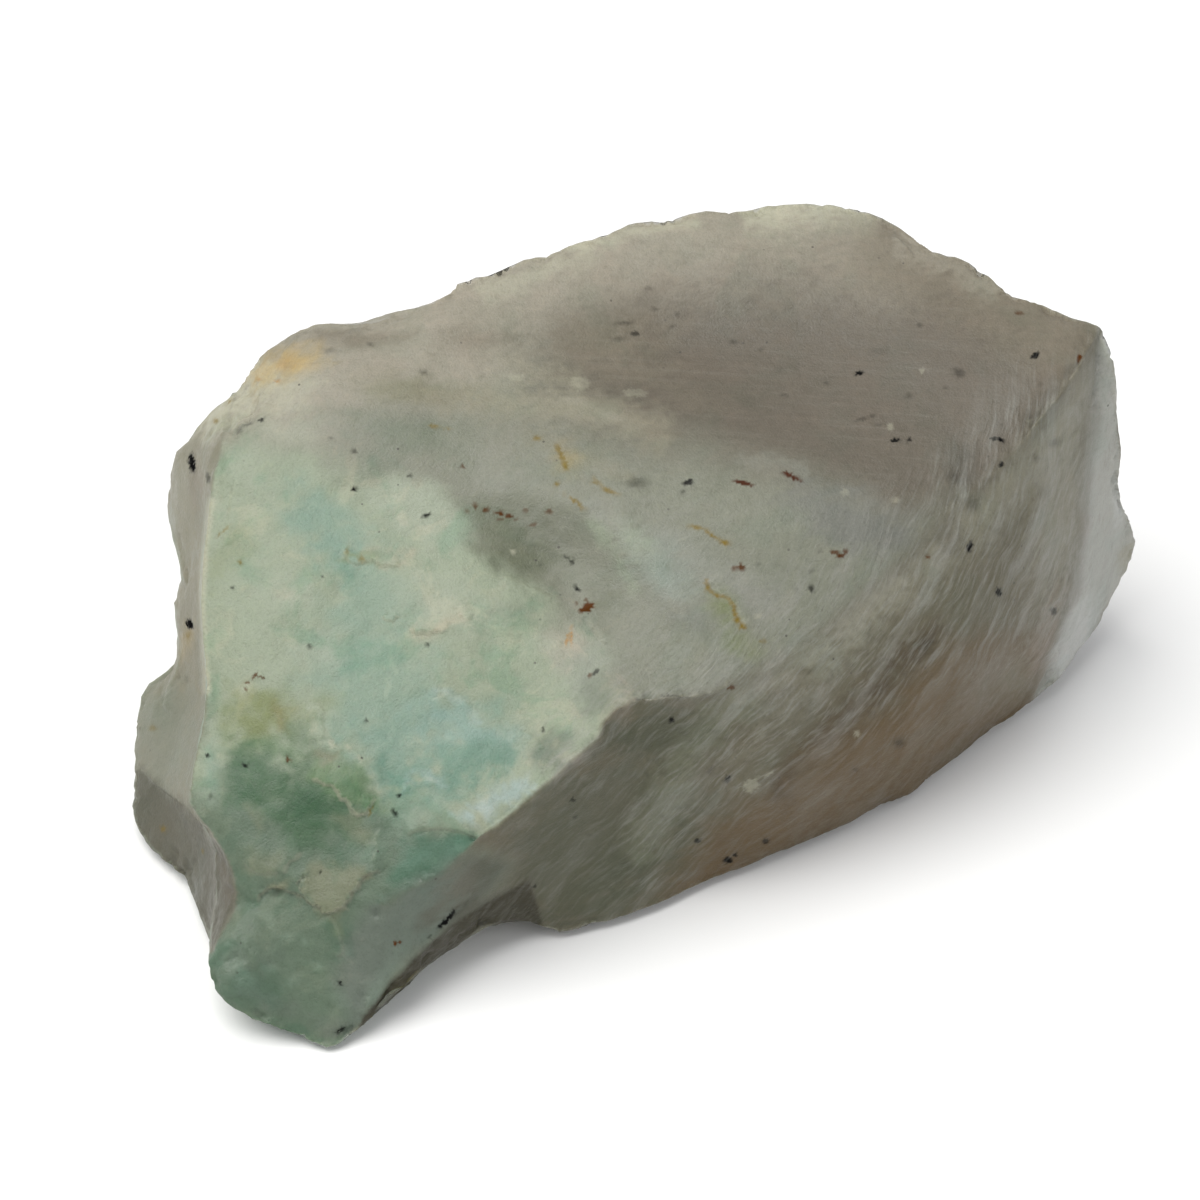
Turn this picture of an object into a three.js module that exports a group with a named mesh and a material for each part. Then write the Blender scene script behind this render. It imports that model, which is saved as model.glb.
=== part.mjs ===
// Rough blue opal: one natural lump of broken stone, lying on its flat underside.
// Millimetres, +Z up. The origin is the middle of the stone's footprint box, on the
// surface it lies on, and +X runs along its longest extent.
//
// The surface is a net of measured points. The side that looks up and forward is netted
// as a relief seen from one far point, the walls and the underside are netted over
// directions from a point inside, and both share the edge RIM. Each triangle is then
// split once along curved edges, with the arrises kept sharp.
import * as THREE from 'three';
import { ConvexHull } from 'three/addons/math/ConvexHull.js';

// ---- driving dimensions ------------------------------------------------------------
const LENGTH = 81.97;           // overall, along X, as the tables below give it
const SCALE = 1;                // multiplies every dimension of the stone
const SPLITS = 1;               // times each triangle is split in four
const ARRIS_ANGLE = 12;         // degrees between faces above which a named arris stays sharp
const RIM_ANGLE = 30;           // the same along RIM
const SCAR_ANGLE = 26;          // the same between flake scars on the walls
const SIGHT = [-96.153, -175.370, 168.227];    // far point from which RIM is the stone's outline
const AIM = [-2.871, -1.763, 14.250];      // the relief is laid out square to the line SIGHT to AIM
const INSIDE = [-2.614, -4.455, 14.625];   // point that sees every wall from inside
const COLOUR = 0xa3a797;        // mean colour of the stone: pale grey-green
const ROUGHNESS = 0.45;

// ---- measured points, [x, y, z] -----------------------------------------------------
// closed edge around the face that looks up and forward; runs right end, underside lip, tip, left arris, shoulder, back edge
const RIM = [
  [35.68,-8.99,30.75], [36.07,-10.23,28.77], [36.82,-10.43,25.86], [37.07,-10.56,22.95], [37.53,-10.78,20.04], [38.01,-10.40,16.64],
  [39.27,-10.14,13.14], [40.68,-10.05,9.71], [40.40,-9.75,6.67], [38.59,-10.56,5.07], [36.62,-11.50,3.68], [34.09,-12.69,2.91],
  [31.59,-13.99,2.13], [29.13,-14.37,1.32], [26.25,-15.11,1.13], [23.36,-15.87,1.00], [20.46,-16.84,0.91], [17.61,-17.73,0.82],
  [14.80,-18.74,0.76], [12.11,-18.81,0.81], [9.31,-19.43,0.86], [6.63,-19.64,0.90], [4.01,-19.78,0.90], [1.42,-19.88,0.90],
  [-1.15,-19.96,0.90], [-3.67,-19.95,0.90], [-6.22,-20.18,0.90], [-8.75,-20.44,0.90], [-11.17,-20.34,0.90], [-13.50,-20.05,0.82],
  [-15.77,-19.58,0.76], [-17.74,-18.88,2.15], [-20.27,-19.13,3.58], [-22.73,-19.53,3.74], [-25.20,-20.06,3.88], [-27.40,-20.64,3.40],
  [-29.48,-21.44,2.79], [-31.49,-21.66,1.91], [-33.37,-21.98,0.86], [-35.33,-21.82,0.45], [-36.68,-20.28,0.97], [-38.42,-19.22,1.74],
  [-39.92,-17.83,2.54], [-40.88,-16.09,3.49], [-40.77,-14.53,4.75], [-38.98,-13.46,6.60], [-37.91,-12.82,7.83], [-37.26,-11.78,9.06],
  [-37.32,-10.38,10.15], [-37.53,-8.84,11.10], [-37.95,-7.31,11.98], [-37.85,-5.83,12.95], [-36.95,-4.52,13.92], [-35.97,-3.49,15.02],
  [-35.05,-2.41,16.14], [-34.31,-1.13,17.24], [-33.72,0.30,18.30], [-33.18,1.72,19.40], [-32.62,3.08,20.53], [-31.96,4.47,21.63],
  [-31.17,5.88,22.67], [-30.32,7.16,23.78], [-29.42,8.54,24.81], [-28.49,9.96,25.82], [-27.55,11.23,26.91], [-26.43,12.55,27.90],
  [-26.31,14.10,27.16], [-26.19,15.67,26.41], [-26.07,17.24,25.67], [-25.95,18.82,24.92], [-24.28,18.29,26.77], [-22.60,17.56,28.54],
  [-20.85,18.29,29.93], [-18.82,18.07,31.07], [-16.64,17.92,31.87], [-14.60,16.73,31.84], [-12.42,15.91,31.81], [-9.96,16.06,32.03],
  [-7.87,15.08,32.56], [-5.55,15.88,33.17], [-3.13,15.66,33.39], [-0.57,15.86,33.62], [1.71,15.19,33.84], [4.32,15.43,34.05],
  [6.87,15.39,34.26], [9.40,15.28,34.47], [11.64,14.39,34.62], [14.11,14.02,34.71], [16.13,12.79,34.61], [18.76,12.61,34.51],
  [21.29,12.16,34.41], [23.53,11.23,34.23], [25.61,10.00,33.88], [27.16,8.16,33.53], [28.02,5.74,33.14], [28.56,3.25,32.86],
  [30.24,1.65,32.61], [30.98,-0.88,32.26], [31.36,-3.60,31.92], [32.85,-5.35,31.56], [34.26,-7.21,31.18],
];

// arris between the hollowed top and the long streaked side, from the right peak down to the mid notch
const TOP_ARRIS = [
  [33.52,-10.52,30.41], [31.54,-12.01,29.91], [29.66,-12.97,29.27], [27.89,-13.65,28.51], [26.11,-14.36,27.78], [24.32,-15.06,27.07],
  [22.57,-15.55,26.32], [20.77,-16.04,25.65], [19.03,-16.26,24.93], [17.31,-16.63,24.19], [15.70,-16.96,23.31], [14.18,-17.23,22.32],
  [12.57,-17.50,21.46], [10.83,-17.78,20.79], [9.04,-18.05,20.20], [7.19,-18.41,19.71], [5.31,-18.78,19.29], [3.41,-19.09,18.94],
  [1.53,-19.28,18.62], [-0.35,-19.32,18.39], [-2.28,-19.41,18.26], [-4.14,-19.28,18.23], [-5.91,-18.84,18.33], [-7.63,-18.31,18.51],
  [-9.39,-17.93,18.54], [-11.06,-18.10,18.01], [-12.41,-18.78,17.09], [-13.95,-18.89,16.25], [-15.48,-18.96,15.41], [-17.02,-19.14,14.59],
  [-18.58,-19.29,13.79], [-20.16,-19.35,13.04], [-21.77,-19.29,12.38],
];

// its faint run-out toward the tip
const LOW_ARRIS = [
  [-23.14,-19.44,11.45], [-24.62,-19.60,10.72], [-26.13,-19.35,10.10], [-27.65,-19.00,9.49], [-29.12,-18.57,8.78],
];

// arris between the long side and the narrow right end
const END_ARRIS = [
  [35.04,-9.75,29.20], [34.74,-10.34,27.39], [34.49,-10.85,25.50], [34.25,-11.29,23.57], [33.99,-11.66,21.58], [33.69,-12.10,19.64],
  [33.39,-12.55,17.68], [33.15,-12.94,15.65], [32.84,-13.37,13.66], [32.49,-13.80,11.68], [32.01,-14.17,9.71], [31.39,-14.44,7.76],
  [30.72,-14.49,5.73], [30.02,-14.28,3.61],
];

// lip where the underside of the tip turns in
const UNDER_LIP = [
  [-32.34,-21.63,1.95], [-30.92,-21.43,2.83], [-29.50,-21.04,3.65], [-28.03,-20.70,4.42], [-26.49,-20.37,5.07], [-24.86,-19.99,5.55],
  [-23.15,-19.58,5.88], [-21.34,-19.19,6.01], [-19.53,-19.01,6.15], [-17.73,-18.88,6.30],
];

// small step in the underside lip
const KEEL_NOTCH = [
  [-17.52,-19.07,5.10], [-16.76,-19.23,1.95],
];

// edge of the thin flake step above the tip
const TIP_LEDGE = [
  [-36.33,-13.04,8.59], [-35.21,-13.87,8.46], [-34.08,-14.72,8.40], [-33.13,-15.79,8.24], [-32.02,-16.69,8.25], [-30.76,-17.12,8.71],
  [-29.54,-17.25,9.40], [-28.31,-17.47,10.07],
];

// ridge between the two facets of the tip
const TIP_RIDGE = [
  [-32.04,-17.64,7.16], [-32.04,-18.54,6.02], [-32.38,-19.32,4.84], [-32.90,-20.04,3.69], [-33.37,-20.83,2.57], [-33.59,-21.63,1.37],
];

// points on the hollowed top, the slope below it, the green left front, the tip and the long side
const FACE = [
  [38.70,-10.64,10.79], [38.01,-10.88,8.87], [36.11,-11.89,7.62], [34.11,-12.94,6.44], [27.20,-15.54,4.13], [23.88,-16.98,4.67],
  [20.78,-18.05,4.86], [18.26,-18.53,4.27], [15.62,-19.17,3.92], [13.47,-19.52,3.21], [10.61,-20.01,3.72], [8.01,-20.36,3.47],
  [5.39,-20.63,3.58], [2.90,-20.65,3.45], [0.47,-20.54,3.22], [-1.95,-20.43,3.02], [-4.33,-20.19,2.76], [-6.71,-20.06,2.37],
  [-9.05,-20.13,2.15], [-11.37,-20.01,2.14], [-13.68,-19.80,2.14], [-15.64,-19.50,2.12], [-17.56,-19.03,3.64], [-32.02,-21.19,2.81],
  [-35.00,-21.21,1.22], [-36.11,-20.04,1.87], [-37.82,-18.90,2.54], [-39.19,-17.73,3.34], [-40.11,-16.65,4.43], [-38.53,-14.91,7.06],
  [-37.15,-13.63,7.85], [-36.35,-12.30,9.33], [-36.47,-10.90,10.83], [-36.68,-9.24,11.82], [-37.07,-7.74,12.60], [-36.24,-5.52,14.12],
  [-35.26,-4.51,15.20], [-34.29,-3.35,16.37], [-33.51,-2.00,17.55], [-32.88,-0.50,18.63], [-32.32,0.96,19.70], [-31.75,2.35,20.76],
  [-31.11,3.71,21.80], [-30.35,5.06,22.81], [-29.51,6.33,23.88], [-28.62,7.67,24.94], [-27.74,8.96,26.01], [-26.86,10.12,27.11],
  [-25.58,11.73,28.13], [-25.28,15.26,27.31], [-22.56,15.48,28.92], [-20.72,16.56,30.00], [-18.90,16.43,30.94], [-17.03,16.45,31.56],
  [-15.30,15.19,31.62], [-12.96,14.19,31.68], [-10.48,14.21,31.99], [-8.12,13.45,32.38], [-5.66,14.45,32.85], [-3.39,14.31,32.98],
  [-0.94,14.42,33.26], [1.40,13.88,33.39], [4.06,14.06,33.65], [6.55,14.02,33.85], [8.92,13.89,34.07], [11.13,13.07,34.17],
  [13.40,12.58,34.36], [15.43,11.39,34.23], [18.10,11.08,34.21], [20.47,10.63,34.14], [22.55,9.76,33.97], [24.41,8.55,33.70],
  [25.82,6.92,33.38], [26.59,4.66,33.03], [27.28,2.09,32.65], [28.94,0.46,32.43], [29.61,-1.77,32.10], [30.09,-4.54,31.68],
  [31.59,-6.54,31.37], [32.93,-8.44,31.07], [8.93,11.75,33.28], [11.37,10.52,33.26], [13.61,8.92,33.11], [15.97,8.08,33.14],
  [18.49,6.64,32.94], [21.24,5.79,32.99], [23.22,4.34,32.81], [1.73,11.78,32.56], [4.34,10.98,32.29], [6.56,10.27,31.99],
  [9.35,9.08,31.76], [11.63,7.96,31.83], [13.76,6.63,31.76], [15.92,5.36,31.75], [18.51,3.85,31.76], [20.71,3.07,31.99],
  [23.18,1.40,32.02], [25.20,0.22,32.09], [-5.54,12.10,32.07], [-3.24,10.97,31.70], [-0.75,10.36,31.69], [1.58,9.36,31.17],
  [4.76,8.80,30.84], [7.01,8.12,30.55], [9.50,6.87,30.35], [11.94,5.63,30.46], [14.14,4.14,30.50], [16.26,2.63,30.53],
  [18.57,1.31,30.74], [20.62,-0.08,30.87], [22.64,-1.42,31.05], [24.93,-3.27,31.19], [26.85,-4.33,31.34], [-10.13,11.24,31.38],
  [-8.10,10.36,31.17], [-5.52,9.50,30.83], [-3.15,8.34,30.50], [-0.83,7.49,30.27], [1.72,6.81,29.86], [4.46,6.12,29.52],
  [6.91,5.45,29.29], [9.48,4.06,29.19], [11.91,2.92,29.35], [13.85,1.42,29.37], [15.83,-0.02,29.48], [18.28,-1.32,29.78],
  [20.24,-2.93,29.89], [22.38,-4.22,30.20], [24.57,-5.81,30.43], [26.77,-7.49,30.55], [28.98,-8.95,30.65], [-19.20,13.31,30.45],
  [-17.19,11.31,30.53], [-15.03,10.46,30.60], [-12.72,9.53,30.36], [-10.30,8.74,30.08], [-7.64,7.62,29.91], [-5.25,6.72,29.85],
  [-2.87,5.66,29.75], [-0.92,4.48,29.51], [1.81,4.01,29.23], [4.02,2.84,28.86], [6.68,2.34,28.70], [9.17,0.63,28.53],
  [11.43,-0.14,28.59], [13.68,-1.86,28.57], [15.86,-3.08,28.74], [17.84,-4.68,28.82], [20.22,-5.72,29.16], [22.02,-7.32,29.26],
  [24.35,-8.96,29.48], [26.57,-10.24,29.71], [28.61,-11.50,29.82], [-21.57,11.59,29.31], [-19.49,10.13,29.51], [-17.19,8.71,29.51],
  [-15.03,7.77,29.46], [-12.61,7.12,29.37], [-10.26,6.12,29.18], [-7.73,4.75,29.05], [-5.61,3.56,29.04], [-3.37,2.59,29.12],
  [-1.29,1.09,28.91], [1.32,0.37,28.73], [3.62,-0.70,28.46], [6.33,-1.53,28.27], [8.63,-2.51,28.10], [10.95,-3.71,27.97],
  [13.12,-5.11,27.95], [15.72,-6.07,28.14], [17.70,-7.28,28.23], [19.64,-9.00,28.24], [21.97,-10.34,28.42], [23.84,-11.67,28.49],
  [26.39,-12.85,28.64], [-23.83,10.29,28.34], [-21.22,8.90,28.45], [-19.32,7.39,28.29], [-16.92,6.36,28.47], [-14.66,5.27,28.48],
  [-12.44,4.20,28.32], [-10.14,2.77,28.12], [-7.83,1.80,28.21], [-5.77,0.23,28.18], [-3.60,-0.70,28.27], [-1.29,-1.57,28.27],
  [1.29,-2.68,28.12], [3.58,-3.70,27.96], [5.78,-5.04,27.72], [8.38,-5.88,27.57], [10.48,-6.88,27.48], [12.75,-8.33,27.42],
  [14.90,-9.21,27.49], [17.14,-10.38,27.52], [19.45,-12.05,27.41], [22.00,-12.98,27.60], [-23.48,7.83,27.18], [-21.01,6.41,27.17],
  [-19.19,5.22,27.15], [-17.08,3.90,27.11], [-14.69,2.96,27.29], [-12.18,1.48,27.12], [-10.03,0.16,27.02], [-7.78,-0.82,27.34],
  [-5.68,-2.16,27.45], [-3.89,-3.59,27.33], [-1.52,-4.79,27.34], [0.84,-5.93,27.24], [3.14,-7.10,27.10], [5.42,-8.07,27.00],
  [7.92,-9.10,26.94], [10.12,-10.09,26.90], [12.51,-11.15,26.89], [14.58,-12.45,26.76], [16.98,-13.29,26.70], [19.15,-14.47,26.40],
  [24.84,-15.68,25.33], [28.43,-14.74,23.35], [-25.45,6.68,25.78], [-23.32,5.41,25.78], [-21.09,4.31,25.93], [-18.97,2.65,25.75],
  [-16.52,1.53,25.93], [-14.46,0.53,26.02], [-12.23,-0.85,25.85], [-9.83,-2.09,25.92], [-7.76,-3.58,25.98], [-5.58,-4.85,26.30],
  [-3.57,-6.07,26.48], [-1.29,-7.23,26.50], [0.90,-8.36,26.41], [3.18,-9.46,26.32], [5.20,-10.58,26.21], [7.60,-11.82,26.11],
  [9.77,-12.85,26.06], [12.26,-13.75,25.99], [14.57,-14.92,25.63], [22.50,-16.65,24.20], [26.51,-15.86,22.18], [-27.41,5.46,24.34],
  [-25.01,4.06,24.49], [-23.14,2.95,24.52], [-21.03,1.65,24.51], [-18.61,0.58,24.74], [-16.64,-0.93,24.65], [-14.06,-2.11,24.86],
  [-11.91,-3.51,24.65], [-9.75,-4.18,24.77], [-7.67,-5.46,24.67], [-5.59,-6.94,25.04], [-3.64,-8.65,25.11], [-1.54,-9.82,25.11],
  [0.89,-10.96,25.10], [3.13,-12.14,24.97], [5.39,-12.95,25.08], [7.78,-14.13,24.87], [10.11,-14.98,24.72], [12.46,-15.80,24.32],
  [20.92,-17.55,22.57], [23.91,-17.21,21.00], [29.24,-15.08,17.81], [-27.02,2.87,23.19], [-24.94,1.64,23.30], [-22.72,0.61,23.48],
  [-20.79,-0.74,23.39], [-18.54,-1.97,23.52], [-16.28,-3.46,23.61], [-14.20,-4.51,23.74], [-12.04,-5.67,23.53], [-9.35,-6.45,23.37],
  [-7.28,-7.48,23.31], [-5.24,-9.29,23.71], [-3.08,-10.77,23.93], [-1.02,-12.01,23.83], [1.34,-13.16,23.70], [3.66,-14.14,23.59],
  [5.68,-14.86,23.49], [8.39,-15.85,23.17], [10.90,-16.52,22.83], [16.18,-17.93,21.90], [18.56,-18.53,21.06], [21.90,-18.28,19.85],
  [26.11,-16.89,17.60], [-29.18,1.89,21.85], [-26.95,0.39,22.01], [-25.01,-0.79,22.07], [-22.41,-1.95,22.29], [-20.27,-3.08,22.40],
  [-18.14,-4.56,22.41], [-16.11,-5.95,22.40], [-14.18,-6.98,22.35], [-11.70,-7.66,22.30], [-9.21,-8.62,21.99], [-6.98,-9.92,22.09],
  [-5.11,-11.67,22.29], [-2.84,-13.01,22.57], [-0.90,-14.06,22.48], [1.53,-15.16,22.15], [3.96,-15.90,22.02], [6.26,-16.72,21.59],
  [14.06,-18.71,20.27], [16.54,-19.33,19.69], [19.93,-19.32,18.54], [24.10,-18.14,16.34], [28.56,-16.09,12.94], [-28.74,-0.42,20.93],
  [-26.59,-1.73,21.05], [-24.60,-3.06,21.01], [-22.38,-4.37,21.02], [-20.12,-5.45,21.23], [-18.20,-6.91,21.14], [-16.00,-8.14,21.12],
  [-13.65,-9.11,21.06], [-11.38,-10.25,20.78], [-9.24,-10.91,20.91], [-7.11,-12.29,21.03], [-5.19,-13.89,20.99], [-2.94,-15.07,21.26],
  [-0.35,-16.18,21.06], [1.83,-16.84,20.80], [4.34,-17.67,20.43], [12.32,-19.66,18.68], [14.56,-20.20,18.03], [17.77,-20.24,17.14],
  [21.50,-19.43,14.87], [26.83,-16.99,11.52], [-30.65,-1.71,19.44], [-28.78,-2.83,19.67], [-26.40,-4.26,19.73], [-24.53,-5.40,19.71],
  [-22.15,-6.53,19.90], [-20.02,-7.74,20.01], [-17.83,-8.93,20.07], [-15.39,-10.19,19.97], [-13.43,-11.17,19.83], [-11.17,-12.30,19.74],
  [-8.83,-13.57,19.83], [-6.71,-14.96,19.90], [-4.55,-16.16,19.96], [-2.78,-17.29,19.81], [-0.38,-18.16,19.56], [7.71,-19.93,17.67],
  [10.20,-20.41,17.22], [13.12,-20.83,16.63], [16.26,-20.92,15.09], [19.63,-20.10,13.35], [25.01,-17.65,9.54], [-30.30,-3.91,18.47],
  [-28.37,-5.28,18.49], [-26.08,-6.39,18.65], [-24.04,-7.76,18.53], [-21.92,-8.77,18.70], [-19.65,-10.04,18.79], [-17.59,-11.11,18.77],
  [-15.42,-12.27,18.64], [-13.19,-13.62,18.52], [-11.01,-14.86,18.72], [3.12,-20.14,17.10], [5.94,-20.58,16.27], [8.46,-21.12,15.42],
  [11.39,-21.44,14.62], [14.48,-21.36,13.30], [18.26,-20.39,11.31], [-32.28,-4.75,17.03], [-30.37,-6.29,17.10], [-28.29,-7.52,17.25],
  [-26.00,-8.77,17.31], [-24.00,-9.95,17.23], [-21.71,-11.21,17.32], [-19.45,-12.30,17.43], [-17.23,-13.46,17.37], [-15.00,-14.68,17.35],
  [-13.21,-15.90,17.54], [-3.80,-19.39,16.23], [-1.20,-20.13,15.92], [1.21,-20.82,15.24], [3.80,-21.25,14.55], [6.67,-21.57,13.71],
  [9.80,-21.76,12.76], [12.70,-21.55,11.55], [16.68,-20.42,9.23], [-32.04,-7.07,15.83], [-30.16,-8.41,15.93], [-27.84,-9.95,15.97],
  [-25.63,-10.84,16.11], [-23.65,-11.87,16.16], [-21.52,-13.30,16.10], [-19.42,-14.47,16.09], [-17.23,-15.73,16.06], [-15.09,-17.13,16.26],
  [-9.81,-18.00,15.19], [-7.03,-18.16,13.87], [-4.69,-19.15,13.84], [-2.64,-20.17,13.56], [-0.23,-21.09,13.31], [2.52,-21.62,12.86],
  [5.26,-21.90,11.80], [8.46,-21.84,10.17], [11.64,-21.33,8.84], [-33.77,-8.10,14.29], [-31.86,-9.25,14.58], [-29.64,-10.57,14.79],
  [-27.66,-11.97,14.59], [-25.27,-13.12,14.68], [-23.27,-14.26,14.86], [-21.16,-15.55,14.90], [-19.10,-16.96,14.86], [-11.25,-18.16,12.75],
  [-8.47,-18.16,11.78], [-6.38,-19.02,11.18], [-3.84,-20.17,11.32], [-1.54,-21.16,11.03], [1.01,-21.79,10.48], [3.87,-21.93,9.22],
  [7.00,-21.59,7.78], [-35.48,-8.71,12.96], [-33.72,-10.08,13.06], [-31.33,-11.53,13.26], [-29.26,-12.80,13.28], [-27.30,-13.94,13.23],
  [-25.27,-15.13,13.43], [-23.27,-16.48,13.65], [-20.75,-17.79,13.87], [-15.97,-19.11,12.62], [-12.90,-18.59,11.06], [-9.97,-18.45,9.79],
  [-7.58,-19.12,9.24], [-5.21,-20.08,9.17], [-3.04,-20.94,8.42], [-0.22,-21.54,7.96], [2.62,-21.48,6.45], [-33.37,-12.29,11.53],
  [-30.97,-13.43,11.90], [-29.17,-14.56,11.83], [-26.92,-16.10,11.90], [-25.03,-17.36,12.32], [-17.68,-19.21,10.45], [-14.89,-19.07,9.25],
  [-11.73,-18.89,7.90], [-9.34,-19.08,7.23], [-6.56,-19.97,6.28], [-4.06,-20.63,6.20], [-34.91,-12.65,10.10], [-32.93,-14.09,10.07],
  [-30.70,-15.31,10.32], [-26.60,-18.13,10.84], [-21.80,-19.31,9.39], [-16.33,-19.04,6.71], [-13.37,-19.19,6.03], [-10.92,-19.34,5.04],
  [-36.21,-15.58,6.89], [-34.12,-16.63,6.83], [-29.99,-18.95,7.09], [-27.76,-19.62,6.93], [-38.13,-16.52,6.00], [-36.03,-17.19,5.55],
  [-33.63,-18.42,5.25], [-35.53,-18.80,3.91],
];

// outline of the flat underside the stone lies on
const BASE_EDGE = [
  [-34.09,-20.58,0.00], [-35.86,-19.11,0.00], [-36.89,-16.27,0.00], [-37.96,-12.88,0.00], [-38.26,-9.31,0.00], [-37.73,-5.17,0.00],
  [-36.53,-0.71,0.00], [-33.94,3.01,0.00], [-30.49,6.26,0.00], [-25.73,9.24,0.00], [-19.90,11.22,0.00], [-13.68,12.98,0.00],
  [-6.77,13.95,0.00], [0.44,13.91,0.00], [7.81,13.36,0.00], [14.93,12.34,0.00], [21.58,10.47,0.00], [26.76,7.43,0.00],
  [30.50,3.30,0.00], [32.78,-1.17,0.00], [33.43,-5.52,0.00], [32.18,-9.10,0.00], [28.78,-11.79,0.00], [24.91,-13.45,0.00],
  [19.97,-14.72,0.00], [14.95,-15.34,0.00], [10.15,-15.57,0.00], [5.01,-15.62,0.00], [-0.09,-15.60,0.00], [-5.04,-16.09,0.00],
  [-9.95,-16.52,0.00], [-13.18,-16.83,0.00], [-14.67,-15.01,0.00], [-17.13,-13.26,0.00], [-20.74,-13.62,0.00], [-24.75,-15.55,0.00],
  [-28.20,-17.53,0.00], [-31.38,-19.65,0.00],
];

// inside that outline, on the same plane
const BASE = [
  [-33.41,-13.45,0.00], [-33.22,-6.74,0.00], [-30.84,-1.21,0.00], [-22.13,5.18,0.00], [-13.52,6.94,0.00], [-2.75,7.96,0.00],
  [8.80,7.29,0.00], [19.78,3.95,0.00], [26.24,-4.63,0.00], [22.08,-9.21,0.00], [11.79,-10.92,0.00], [0.54,-11.26,0.00],
  [-11.02,-10.58,0.00], [-20.54,-9.30,0.00], [-28.36,-12.76,0.00], [-24.05,-3.15,0.00], [-12.57,-0.81,0.00], [-0.48,-0.49,0.00],
  [11.91,-1.19,0.00],
];

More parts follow.
